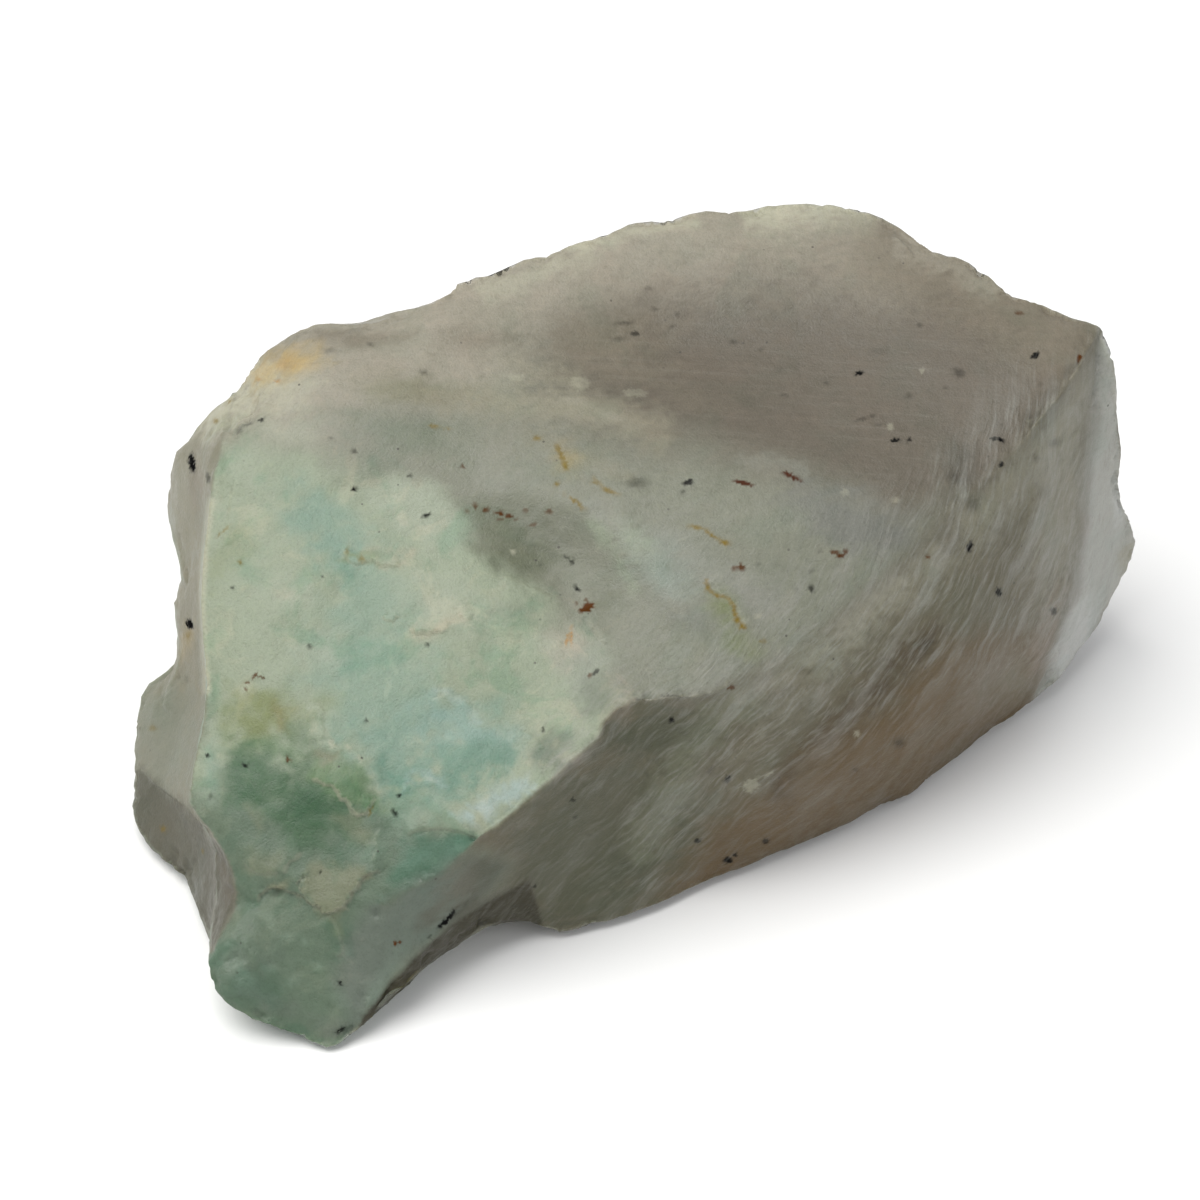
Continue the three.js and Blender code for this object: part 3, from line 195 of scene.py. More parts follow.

# Dark, rusty, yellow and white grains: kind, u, v, half length, half width, turn in degrees, strength. The white ones
# are partly pale specks and partly painted highlights on the lip ridge and along flake edges.
GRAINS_AND_GLINTS = [
    ("ink", 192, 463, 12, 4, 82, 1), ("ink", 189, 624, 6, 4, 70, 1), ("ink", 208, 478, 6, 2.5, 80, .6), ("ink", 354, 489, 3, 2, 0, 1),
    ("grey", 370, 344, 4, 3, 0, .8), ("grey", 424, 372, 5, 3.5, 0, .9), ("ink", 426, 515, 5, 2.2, -20, 1), ("grey", 331, 438, 3, 2, 0, .8),
    ("grey", 330, 351, 10, 4, 0, .5), ("ink", 355, 452, 3, 2, 0, .6), ("ink", 409, 476, 3, 2, 0, .7),
    ("grey", 648, 289, 5, 3, -10, .7), ("grey", 655, 309, 5, 3, 0, .7), ("grey", 677, 314, 4, 3, 0, .7), ("grey", 672, 327, 5, 2.5, 0, .6),
    ("grey", 623, 323, 14, 3.5, -6, .8), ("ink", 635, 334, 5, 3, 0, .7), ("grey", 618, 339, 9, 3.5, 0, .6), ("grey", 734, 342, 7, 4, 0, .7),
    ("grey", 761, 350, 5, 3, 0, .6), ("grey", 779, 370, 6, 3, 0, .45), ("grey", 784, 395, 6, 2.5, 0, .6), ("grey", 826, 383, 4, 2.5, 0, .6),
    ("ink", 859, 373, 6, 2.6, -12, 1), ("grey", 959, 373, 9, 6, 20, .9), ("ink", 1035, 355, 6, 3, -15, 1), ("grey", 909, 396, 5, 4, 0, .6),
    ("grey", 878, 351, 12, 6, 0, .3), ("grey", 861, 420, 10, 2.6, -20, .8), ("grey", 873, 416, 5, 2, -10, .7), ("ink", 896, 441, 6, 2.6, -5, 1), ("ink", 909, 440, 4, 1.8, 5, .9),
    ("ink", 993, 438, 4, 1.8, 5, 1), ("ink", 1001, 440, 5, 3, 20, 1), ("ink", 1002, 464, 3, 4.5, 0, 1), ("grey", 1054, 443, 8, 6, -30, .7),
    ("grey", 1035, 458, 4, 5, 0, .7), ("grey", 956, 478, 13, 9, 20, .6), ("grey", 974, 505, 8, 10, 0, .6), ("ink", 970, 547, 3.5, 6.5, 18, 1),
    ("ink", 998, 592, 3.5, 5, 10, 1), ("ink", 1053, 611, 4, 5, 0, .8), ("grey", 637, 483, 16, 7, -4, .85), ("ink", 688, 483, 6, 3.5, -12, 1),
    ("grey", 683, 492, 4, 3.5, 0, .9), ("ink", 577, 588, 4, 1.8, 38, 1), ("ink", 572, 560, 4, 2, 30, .8), ("ink", 566, 556, 3, 1.6, 20, .7),
    ("ink", 672, 720, 3, 3, 0, 1), ("ink", 728, 779, 5, 3, -25, 1), ("grey", 711, 770, 6, 3, -45, .8), ("grey", 926, 645, 12, 12, 0, .55),
    ("grey", 899, 743, 8, 7, 0, .9), ("grey", 855, 769, 4, 3, 0, .8), ("ink", 698, 842, 4, 3, 0, .9), ("ink", 728, 860, 5, 4, 0, 1),
    ("ink", 735, 855, 3, 2, 0, .9), ("ink", 765, 841, 4, 3.5, 0, .8), ("ink", 543, 730, 1.6, 4, 10, .8), ("ink", 446, 921, 12, 3, -48, 1),
    ("ink", 453, 913, 5, 2.4, -60, .9), ("ink", 430, 937, 3, 2, -40, .6), ("ink", 340, 983, 3, 2.4, 80, 1), ("ink", 341, 1031, 7, 2.4, -40, .9),
    ("ink", 207, 755, 2.4, 2, 0, .9), ("ink", 244, 765, 3, 2, 0, .9), ("rust", 288, 759, 2, 5, -15, .9), ("grey", 211, 796, 5, 3, -60, .8),
    ("ochre", 371, 811, 2, 7, 25, 1), ("ink", 395, 813, 2, 3.5, -30, .9), ("ink", 400, 796, 2.6, 2, 0, .9), ("ink", 367, 721, 2, 2, 0, .7),
    ("ink", 428, 645, 2.2, 2, 0, .7), ("ink", 309, 645, 2, 2, 0, .7), ("ink", 233, 588, 2, 2, 0, .7), ("ink", 323, 577, 2, 1.6, 0, .7),
    ("ochre", 153, 728, 5, 4, 0, .5), ("ochre", 202, 851, 2, 2, 0, .9), ("grey", 141, 729, 2, 2, 0, .6), ("ink", 321, 872, 2, 2, 0, .8),
    ("rust", 255, 676, 5, 1.8, -50, .9), ("rust", 248, 683, 4, 1.6, 0, .8), ("rust", 262, 678, 5, 1.8, 15, .8), ("rust", 246, 689, 3, 1.4, 80, .7),
    ("wine", 743, 483, 12, 2.6, 14, 1), ("wine", 792, 477, 12, 3, 22, 1), ("rust", 475, 506, 1.8, 3, 0, .8), ("rust", 485, 509, 4, 2, 10, .9), ("rust", 466, 510, 1.6, 1.6, 0, .6), ("rust", 500, 518, 3, 1.6, 5, .7),
    ("rust", 499, 512, 6, 2.4, 5, 1), ("rust", 509, 514, 5, 2.2, 12, 1), ("rust", 516, 518, 3, 1.6, 8, .6), ("rust", 533, 523, 5, 2, 0, .7), ("rust", 549, 511, 4, 3, -40, .7), ("rust", 526, 509, 3, 2, 0, .6),
    ("rust", 463, 466, 2, 2, 0, .8), ("rust", 588, 607, 8, 5, -30, 1), ("rust", 582, 610, 4, 3, 20, 1), ("rust", 586, 599, 3, 2, 0, .7), ("rust", 577, 603, 2, 3, 0, .6),
    ("rust", 841, 556, 6, 3, -8, 1), ("rust", 835, 552, 5, 3, 0, .9), ("rust", 846, 552, 3, 3, 0, .9), ("grey", 821, 551, 3, 2, 0, .7), ("grey", 811, 571, 4, 3, 0, .7),
    ("ink", 811, 589, 4, 2.4, 20, .8), ("grey", 796, 589, 4, 2.4, 0, .5), ("rust", 741, 567, 4, 3, -10, 1), ("rust", 734, 568, 3, 2.4, 0, .8), ("grey", 759, 564, 3, 2, 0, .6),
    ("rust", 395, 943, 3, 2.4, 60, 1), ("rust", 400, 942, 1.8, 2, 0, .9), ("rust", 1019, 313, 4, 2.4, 0, .7), ("rust", 1079, 358, 3, 5, 15, 1), ("ink", 596, 673, 5, 3, -40, .8),
    ("rust", 590, 676, 3, 3, 0, .8), ("rust", 732, 688, 5, 2, -20, .9), ("ink", 535, 887, 2.4, 2, 0, .7), ("grey", 543, 562, 3, 2, 0, .6),
    ("ochre", 561, 453, 3.2, 9, -18, .8), ("ochre", 566, 466, 3.4, 7, -10, .8), ("ochre", 537, 438, 6, 3, 0, .8), ("ochre", 557, 485, 3.4, 3, 0, .9),
    ("ochre", 577, 503, 9, 2.6, 35, .8), ("ochre", 595, 483, 5, 3, 20, .6), ("ochre", 608, 491, 9, 3, 15, .7), ("ochre", 434, 426, 7, 3, 8, .9), ("ochre", 447, 428, 6, 1.8, 5, .6),
    ("ochre", 696, 528, 5, 2.4, 25, .7), ("ochre", 711, 535, 7, 2.6, 25, .8), ("ochre", 725, 542, 5, 3, 25, 1), ("ochre", 707, 588, 2.8, 6, 10, .8), ("ochre", 718, 595, 7, 2, 15, .8),
    ("ochre", 735, 614, 3, 10, -10, .8), ("ochre", 737, 620, 4, 4, 0, 1), ("ochre", 743, 626, 4, 3.4, 0, 1), ("orange", 567, 640, 2.2, 8, 8, .9), ("orange", 571, 636, 1.8, 11, 4, .8),
    ("ochre", 223, 531, 10, 1.4, -38, .7), ("ochre", 240, 562, 3, 4, -20, .8), ("ochre", 362, 560, 5, 5, -45, .7), ("ochre", 347, 552, 3, 6, 10, .6),
    ("orange", 278, 381, 5, 2, 0, .7), ("orange", 259, 380, 4, 2.4, 0, .6), ("ochre", 188, 635, 4, 6, 20, .6), ("ochre", 216, 421, 4, 4, 0, .8), ("ochre", 229, 402, 6, 2.4, -45, .7),
    ("ochre", 164, 829, 4, 4, 0, .7), ("ochre", 763, 641, 4, 3, 0, .7), ("grey", 247, 424, 12, 2.4, -16, .9), ("grey", 238, 430, 4, 5, 30, .9), ("ink", 261, 420, 4, 2, -10, .9),
    ("ink", 945, 388, 2, 2, 0, .3), ("grey", 879, 425, 4, 2, 0, .6), ("ink", 920, 325, 2, 2, 0, .5), ("grey", 1040, 385, 3, 3, 0, .5), ("grey", 967, 552, 3, 3, 0, .6), ("rust", 928, 557, 2.4, 2, 0, .8),
    ("ink", 915, 567, 1.8, 1.8, 0, .9), ("ink", 571, 799, 3, 2, 0, .7), ("ink", 574, 817, 2, 2, 0, .5), ("grey", 590, 835, 8, 1.6, 8, .5), ("ink", 640, 700, 8, 1.4, 4, .5), ("ink", 672, 696, 12, 1.4, 3, .55),
    # white: pale specks, and painted highlights on the lip ridge and along flake edges
    ("white", 516, 378, 8, 4, 5, .7), ("white", 580, 384, 9, 7, 0, .6), ("white", 635, 393, 12, 4, 5, .5), ("white", 751, 785, 8, 6, -30, .95), ("white", 769, 774, 6, 2, -40, .7),
    ("white", 513, 548, 2.4, 2, 0, 1), ("white", 890, 427, 3, 4, 0, .7), ("white", 922, 371, 2, 3, 0, .7), ("white", 857, 734, 3, 4, 0, .8), ("white", 896, 500, 3, 3, 0, .6), ("white", 845, 492, 4, 3, 0, .6),
    ("white", 1030, 419, 2, 2, 0, .6), ("white", 333, 745, 5, 3, 30, .8), ("white", 349, 748, 4, 2.4, 30, .7), ("white", 360, 759, 4, 2.4, 45, .6), ("white", 758, 616, 4, 3, 0, .6),
]

TARGET_FRONT, TARGET_BACK = 0.43, 0.74   # edge lengths in mm


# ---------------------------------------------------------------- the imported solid, welded
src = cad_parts["opal_stone"]
me = src.data
co = np.empty(len(me.vertices) * 3, np.float32); me.vertices.foreach_get("co", co)
me.calc_loop_triangles()
tri = np.empty(len(me.loop_triangles) * 3, np.int32); me.loop_triangles.foreach_get("vertices", tri)
M = np.array(src.matrix_world)
P = (co.reshape(-1, 3).astype(float) @ M[:3, :3].T + M[:3, 3]) * 1000
_, first, weld = np.unique(np.round(P * 1e4).astype(np.int64), axis=0, return_index=True, return_inverse=True)
P = P[first]; F = weld.ravel()[tri.reshape(-1, 3)]
F = F[(F[:, 0] != F[:, 1]) & (F[:, 1] != F[:, 2]) & (F[:, 2] != F[:, 0])]


def edges_of(F, n):
    E = np.sort(np.concatenate((F[:, [0, 1]], F[:, [1, 2]], F[:, [2, 0]])), axis=1)
    key = E[:, 0].astype(np.int64) * n + E[:, 1]
    uk, firsts, inv = np.unique(key, return_index=True, return_inverse=True)
    inv = inv.ravel()
    return E[firsts], inv, uk


def face_normals(P, F):
    n = np.cross(P[F[:, 1]] - P[F[:, 0]], P[F[:, 2]] - P[F[:, 0]])
    return n, n / (np.linalg.norm(n, axis=1)[:, None] + 1e-15)


def point_normals(P, F):
    n, _ = face_normals(P, F)
    out = np.zeros_like(P)
    for c in range(3):
        for i in range(3):
            out[:, c] += np.bincount(F[:, i], n[:, c], len(P))
    return out / (np.linalg.norm(out, axis=1)[:, None] + 1e-15)


def sharp_edges(P, F, degrees):
    E, inv, _ = edges_of(F, len(P))
    _, fn = face_normals(P, F)
    order = np.argsort(inv, kind="stable").reshape(-1, 2) % len(F)
    dot = (fn[order[:, 0]] * fn[order[:, 1]]).sum(1)
    return E[dot < math.cos(math.radians(degrees))]


def refine(P, F, crease, wanted):
    """One round: splits the edges longer than wanted at their curved midpoints, sharp along the crease edges."""
    n, m = len(P), len(F)
    E, inv, uk = edges_of(F, n)
    L = np.linalg.norm(P[E[:, 0]] - P[E[:, 1]], axis=1)
    split = L > 0.5 * (wanted[E[:, 0]] + wanted[E[:, 1]]) * 1.30
    ck = np.sort(crease, axis=1)
    is_crease = np.isin(uk, ck[:, 0].astype(np.int64) * n + ck[:, 1])
    fn, fu = face_normals(P, F)
    # corner normals, joined round each point between creases
    corner = np.empty((m, 3, 3))
    for i in range(3):
        a = P[F[:, (i + 1) % 3]] - P[F[:, i]]; b = P[F[:, (i + 2) % 3]] - P[F[:, i]]
        c = (a * b).sum(1) / (np.linalg.norm(a, axis=1) * np.linalg.norm(b, axis=1) + 1e-15)
        corner[:, i] = fu * np.arccos(np.clip(c, -1, 1))[:, None]
    order = np.argsort(inv, kind="stable").reshape(-1, 2)
    f0, f1 = order[:, 0] % m, order[:, 1] % m

    def slot_of(f, v):
        return f * 3 + np.argmax(F[f] == v[:, None], axis=1)

    soft = ~is_crease
    x = np.concatenate((slot_of(f0, E[:, 0])[soft], slot_of(f0, E[:, 1])[soft]))
    y = np.concatenate((slot_of(f1, E[:, 0])[soft], slot_of(f1, E[:, 1])[soft]))
    lab = np.arange(3 * m)
    for _ in range(40):
        low = np.minimum(lab[x], lab[y])
        new = lab.copy()
        np.minimum.at(new, x, low); np.minimum.at(new, y, low)
        if (new == lab).all():
            break
        lab = new
    flat = corner.reshape(-1, 3)
    tot = np.stack([np.bincount(lab, flat[:, c], 3 * m) for c in range(3)], axis=1)[lab]
    tot /= np.linalg.norm(tot, axis=1)[:, None] + 1e-15
    e = np.flatnonzero(split)
    a, b = E[e, 0], E[e, 1]
    pa, pb = P[a], P[b]
    mid = (pa + pb) / 2
    na, nb = tot[slot_of(f0[e], a)], tot[slot_of(f0[e], b)]
    bend = -(((pb - pa) * na).sum(1)[:, None] * na + ((pa - pb) * nb).sum(1)[:, None] * nb) / 8
    # along a crease the curve goes through the next crease points
    cE = E[is_crease]
    deg = np.bincount(cE.ravel(), minlength=n)
    tot_n = np.bincount(cE[:, 0], cE[:, 1], n) + np.bincount(cE[:, 1], cE[:, 0], n)
    onc = is_crease[e]
    ls = np.linalg.norm(pb - pa, axis=1)[:, None]

    def tangent(v, other, away):
        nxt = np.where(onc & (deg[v] == 2), tot_n[v] - other, v).astype(np.int64)
        t = P[other] - P[nxt]
        t /= np.linalg.norm(t, axis=1)[:, None] + 1e-15
        base = away / ls
        turn = (t * base).sum(1)[:, None]
        return np.where((onc & (deg[v] == 2))[:, None] & (turn > 0.6), t, base) * ls

    ta = tangent(a, b, pb - pa)
    tb = tangent(b, a, pa - pb)
    mid += np.where(onc[:, None], (ta + tb) / 8, bend)
    made = np.full(len(E), -1); made[e] = n + np.arange(len(e))
    P2 = np.vstack((P, mid))
    k = made[inv.reshape(3, m).T]          # new point on edges ab, bc, ca, or -1
    cnt = (k >= 0).sum(1)
    out = [F[cnt == 0]]
    g = cnt == 3
    A, B, C = F[g].T; ab, bc, ca = k[g].T
    out += [np.stack(t, 1) for t in ((A, ab, ca), (ab, B, bc), (ca, bc, C), (ab, bc, ca))]
    for r in range(3):
        q = (r, (r + 1) % 3, (r + 2) % 3)
        g = (cnt == 1) & (k[:, r] >= 0)
        A, B, C = F[g][:, q].T; mm = k[g, r]
        out += [np.stack((A, mm, C), 1), np.stack((mm, B, C), 1)]
        g = (cnt == 2) & (k[:, q[2]] < 0)
        A, B, C = F[g][:, q].T; m1, m2 = k[g, q[0]], k[g, q[1]]
        out.append(np.stack((m1, B, m2), 1))
        d1 = np.linalg.norm(P2[A] - P2[m2], axis=1); d2 = np.linalg.norm(P2[m1] - P2[C], axis=1)
        w = d1 < d2
        out += [np.stack((A, m1, m2), 1)[w], np.stack((A, m2, C), 1)[w], np.stack((A, m1, C), 1)[~w], np.stack((m1, m2, C), 1)[~w]]
    keep = E[is_crease & ~split]
    cs = np.flatnonzero(is_crease & split)
    crease2 = np.vstack((keep, np.stack((E[cs, 0], made[cs]), 1), np.stack((made[cs], E[cs, 1]), 1)))
    return P2, np.vstack(out), crease2


def front_of(P, N):
    away = EYE - P
    return (N * away).sum(1) / np.linalg.norm(away, axis=1)


def wanted_edges(P, F, crease):
    """How long edges may be at each point: short at chipped edges, flakes and grains, longer out of sight."""
    N = point_normals(P, F)
    f = front_of(P, N)
    uv = pixel(P)
    w = np.where(f > -0.05, TARGET_FRONT, TARGET_BACK)
    near = kdtree.KDTree(len(crease))
    mid = (P[crease[:, 0]] + P[crease[:, 1]]) / 2
    for i, c in enumerate(mid):
        near.insert(c, i)
    near.balance()
    d = np.array([near.find(p)[2] for p in P])
    w = np.where(d < 0.8, np.minimum(w, np.where(f > -0.05, 0.30, 0.55)), w)
    see = f > 0.02
    fine = np.zeros(len(P), bool)
    for line, *_ in FLAKES:
        fine |= to_line(uv, line)[0] < 6
    w = np.where(see & fine, 0.135, w)
    tight = np.zeros(len(P), bool)
    for kind, gu, gv, a, b, turn, s in GRAINS_AND_GLINTS:
        tight |= np.hypot(uv[:, 0] - gu, uv[:, 1] - gv) < max(a, b) + 1.5
    w = np.where(see & tight, np.minimum(w, 0.16), w)
    return w, d


crease = sharp_edges(P, F, 17)
for _ in range(4):
    w, _ = wanted_edges(P, F, crease)
    P, F, crease = refine(P, F, crease, w)
N = point_normals(P, F)
_, DC = wanted_edges(P, F, crease)
UV = pixel(P)
FACING = front_of(P, N)
SEEN = step(0.0, 0.14, FACING)
print("stone mesh:", len(P), "points", len(F), "triangles")

# ---------------------------------------------------------------- which face of the stone
far = 1500
side_outline = TOP_ARRIS + LOW_ARRIS[1:] + [(363, 1016), (340, 1060), (340, far), (1300, far), (1300, 700)] + END_ARRIS[::-1]
end_outline = END_ARRIS + [(1036, 900), (1400, 900), (1400, 300), (1100, 320)]
wall_outline = LEFT_ARRIS + [(150, 1000), (-200, 1000), (-200, 300), (205, 300), (235, 395)]
under_outline = UNDER_LIP + [(545, 930), (600, 1100), (340, 1100)]
IN_SIDE = area(UV, side_outline, 2.5) * SEEN
IN_END = area(UV, end_outline, 2.5) * SEEN
IN_WALL = area(UV, wall_outline, 2.0) * SEEN
IN_UNDER = area(UV, under_outline, 2.0) * SEEN
IN_SIDE = IN_SIDE * (1 - IN_END) * (1 - IN_UNDER)
GREEN = area(UV, [(225, 440), (330, 440), (450, 500), (560, 590), (630, 640), (640, 700), (480, 840), (380, 905), (360, 1040),
                  (200, 1040), (190, 780), (205, 600)], 30) * SEEN * (1 - IN_WALL)
BACK = 1 - SEEN

# ---------------------------------------------------------------- relief
# the streaks are arcs round (398, 350), and straight where they run on below u = 750
bend_u = np.maximum(UV[:, 0], 750.0)
bend_v = UV[:, 1] + np.minimum(UV[:, 0] - 750.0, 0) * 1.12
RADIUS = np.hypot(bend_u - 398, bend_v - 350) * PX
ALONG = np.arctan2(bend_v - 350, bend_u - 398) * 37.0 - np.minimum(UV[:, 0] - 750.0, 0) * 1.45 * PX
DEEP = step(0.02, -0.35, FACING) * step(0.1, 2.0, DC)              # well behind the outline
RIM = 1 - step(0.05, 0.50, np.abs(FACING))
CALM = np.exp(-(to_line(UV, LEFT_ARRIS)[0] / 18) ** 2) * SEEN
lift = np.zeros(len(P))
lift += GREEN * (0.26 * fbm(P, 6.5, 3, 1) + 0.05 * fbm(P, 1.3, 3, 2))
lift += IN_SIDE * (0.18 * fbm(P, 9.0, 2, 3))
streak3 = np.stack(((RADIUS + 0.5 * perlin(P / 4.0)) / 0.9, ALONG / 10.0, np.zeros(len(P))), 1)
lift += IN_SIDE * (0.3 + 0.7 * step(640, 800, UV[:, 0])) * (0.045 * perlin(streak3 + 4.2) + 0.040 * perlin(streak3 * (1.9, 1.6, 1) + 9.1))
rest_top = SEEN * (1 - GREEN) * (1 - IN_SIDE) * (1 - IN_WALL) * (1 - IN_END)
lift += rest_top * (0.10 * fbm(P, 7.0, 3, 5))
lift += (0.11 * IN_WALL + 0.14 * IN_END) * fbm(P, 4.5, 3, 6) * (1 - 0.5 * RIM)
c1, c2, _ = cells(P + 1.6 * np.stack([fbm(P, 7, 2, 20 + i) for i in range(3)], 1), 9.0, 2)
lift += DEEP * (1.35 * (c1 ** 2 - 0.35)) + BACK * (1 - 0.6 * RIM) * 0.28 * fbm(P, 5.0, 4, 7)
broken = DEEP + 0.08 * IN_WALL
for size, seed, high in ((9.0, 51, 0.34), (6.0, 52, 0.24), (13.0, 53, 0.40)):
    n_ = fbm(P, size, 4, seed)
    lift += broken * high * (step(-0.02, 0.02, n_) - step(0.0, 0.5, n_) * 0.9 + 0.9 * step(-0.5, 0.0, n_) - 0.9)
c1, c2, _ = cells(P, 3.2, 5)
lift += (DEEP + 0.1 * IN_WALL) * 0.26 * (c1 ** 2 - 0.35)
# the pocket beside the ridge
RIDGE = [(470, 470), (520, 484), (566, 500), (610, 526), (645, 560), (680, 600), (722, 642)]
rd, rs, rt = to_line(UV, RIDGE)
POCKET = np.exp(-(np.hypot((UV[:, 0] - 532) * 0.94 + (UV[:, 1] - 550) * 0.34, ((UV[:, 1] - 550) * 0.94 - (UV[:, 0] - 532) * 0.34) * 1.7) / 60) ** 2) * SEEN
lift += -0.62 * POCKET + 0.30 * np.exp(-(rd / 20) ** 2) * step(0.0, 0.15, rt) * (1 - step(0.8, 1.0, rt)) * SEEN
RING = perlin(np.stack((rd * rs * PX / 0.42 + 0.8 * perlin(P / 3.0), rt * 9.0, np.zeros(len(P))), 1))
lift += 0.035 * RING * np.clip(POCKET * 2, 0, 1)
# broken, scalloped edges
chip = np.clip(fbm(P, 2.1, 3, 8) + 0.12, 0, 1) + 0.5 * np.clip(fbm(P, 0.8, 2, 9), 0, 1)
lift -= 0.50 * chip * (1 - step(0.15, 1.3, DC)) * (1 - 0.65 * IN_SIDE) * (1 - 0.72 * RIM) * (1 - 0.75 * CALM)
# flakes
edge_light = np.zeros(len(P))
wob = 2.2 * np.stack((perlin(P / 0.55 + 3.3), perlin(P / 0.55 + 8.8)), 1) + 1.4 * np.stack((perlin(P / 0.25 + 1.3), perlin(P / 0.25 + 6.8)), 1)
for line, proud, high, back_px, light, torn in FLAKES:
    d, s, t = to_line(UV + wob * torn, line)
    s = s * proud
    end = step(0.0, 0.10, t) * (1 - step(0.90, 1.0, t)) if high < 0.3 else step(0.0, 0.05, t) * (1 - step(0.95, 1.0, t))
    up = np.where(s > 0, step(-1.0, 2.0, d) * (1 - step(4, back_px, d)), 0.0)
    hold = np.where(s <= 0, -0.05 * (1 - step(0, 6, d)), 0.0)
    lift += SEEN * high * end * (up + hold)
    # painted light: the pale, lit and glowing edge of each flake
    edge_light = np.maximum(edge_light, SEEN * end * np.where(s > 0, 1 - step(0.8, 3.2, d), 0.8 * (1 - step(0.6, 2.2, d))) * light)
low_rim = RIM * step(760, 830, UV[:, 1]) * (1 - step(420, 520, UV[:, 0]))
lift += (0.030 + 0.07 * low_rim) * fbm(P, 0.7, 2, 11)
lift *= step(0.05, 1.4, P[:, 2])
P = P + N * lift[:, None]
P[:, 2] = np.maximum(P[:, 2], 0)

# ---------------------------------------------------------------- colours
def rgb(r, g, b):
    c = np.array((r, g, b)) / 255
    return np.where(c > 0.04045, ((c + 0.055) / 1.055) ** 2.4, c / 12.92)


def under_light(c):
    """The surface colour that looks like c in this studio."""
    return np.clip(c * 0.70 - 0.014, 0.006, 1)


LOOK = {k: under_light(rgb(*v)) for k, v in {
    "taupe": (119, 112, 100), "taupe light": (140, 132, 116), "cream": (170, 164, 148), "butter": (184, 178, 156), "slope": (145, 147, 131),
    "grey": (131, 132, 124), "pearl": (158, 161, 150), "sand": (150, 146, 124), "fog": (129, 137, 119),
    "olive grey": (112, 117, 96), "mint pale": (163, 173, 150), "mint": (148, 169, 150), "aqua": (136, 164, 148),
    "sea": (80, 110, 82), "sea deep": (66, 98, 72), "ice": (146, 174, 163), "frost": (172, 190, 184), "cloud": (172, 180, 160), "moss": (134, 143, 98),
    "green grey": (110, 127, 108), "teal": (98, 128, 108), "tan green": (138, 141, 116), "underside shade": (66, 63, 45), "side green": (92, 95, 79), "side": (113, 110, 96),
    "brown": (108, 91, 65), "brown light": (116, 106, 90), "silk": (143, 142, 131), "white": (182, 182, 174), "mauve": (142, 131, 121),
    "wall": (148, 145, 127), "bone": (172, 170, 154), "tip grey": (118, 128, 116), "plume": (122, 126, 110), "ivory": (198, 196, 174), "pale sand": (162, 158, 138), "lagoon": (118, 152, 134), "leaf": (107, 134, 98), "umber": (88, 76, 58), "smoke": (98, 96, 88), "silk light": (156, 156, 146), "strip": (206, 207, 203), "rose": (176, 172, 156), "honey": (194, 168, 108), "shell": (196, 194, 172), "lobe": (146, 148, 133), "lobe low": (104, 103, 91),
    "ink": (44, 44, 42), "rust": (122, 56, 14), "wine": (100, 40, 28), "ochre": (152, 122, 52), "orange": (184, 130, 70),
}.items()}
LOOK["ochre"], LOOK["orange"] = np.array((0.165, 0.112, 0.015)), np.array((0.33, 0.165, 0.028))
LOOK["rust"], LOOK["wine"] = np.array((0.072, 0.027, 0.008)), np.array((0.062, 0.025, 0.015))
PAINT = np.tile(LOOK["taupe"], (len(P), 1))
warp = np.stack((fbm(P, 3.5, 4, 31), fbm(P, 3.5, 4, 32)), 1)
SOFT = UV + warp * (6 + 11 * GREEN)[:, None]
drawn = np.stack((P[:, 0] * 0.35, P[:, 1], P[:, 2] * 1.6), 1)          # stretched level, for the hollow and the slope
rag = np.where(GREEN > 0.5, fbm(P, 1.3, 3, 33, 0.6), fbm(drawn, 0.9, 3, 34, 0.6))


def lay(mask, name):
    global PAINT
    PAINT = PAINT + (LOOK[name] - PAINT) * np.clip(mask, 0, 1)[:, None]


def dab(name, u, v, ru, rv, turn=0, strength=0.8, hard=0.0, where=1.0, uv=None):
    q = SOFT if uv is None else uv
    t = math.radians(turn)
    x, y = q[:, 0] - u, q[:, 1] - v
    d = np.hypot((x * math.cos(t) + y * math.sin(t)) / ru, (-x * math.sin(t) + y * math.cos(t)) / rv)
    if uv is None:
        d = d + 0.28 * rag
    mask = strength * (1 - step(hard, 1.0, d)) * where
    lay(mask, name)
    return mask


def band(name, line, width, strength=0.8, hard=0.0, where=1.0, uv=None):
    d, _, t = to_line(SOFT if uv is None else uv, line)
    d = d / width
    if uv is None:
        d = d + min(0.75, 22 / width) * np.abs(rag) + 1.2 * (1 - step(0, 0.12, t) * (1 - step(0.88, 1, t))) * (width < 40)
    lay(strength * (1 - step(hard, 1.0, d)) * where, name)


def fill(name, poly, soft, strength=1.0, where=1.0, uv=None):
    lay(strength * area(SOFT + rag[:, None] * 5 if uv is None else uv, poly, soft) * where, name)


blur = 3 + 15 * step(600, 760, UV[:, 0])           # the arris between top and side is soft towards its high end
SIDE = area(UV + warp * 2, side_outline, blur) * SEEN * (1 - IN_END) * (1 - IN_UNDER)
TIP_R = area(UV + warp * 7, [(372, 905), (404, 888), (440, 866), (486, 850), (520, 868), (500, 892), (440, 938), (400, 978), (355, 1030), (335, 985), (345, 940)], 14) * SEEN
SIDE = SIDE * (1 - TIP_R)
top = 1.0 - np.clip(SIDE + IN_END + IN_WALL + IN_UNDER, 0, 1)
lay(step(640, 440, UV[:, 0]), "slope")
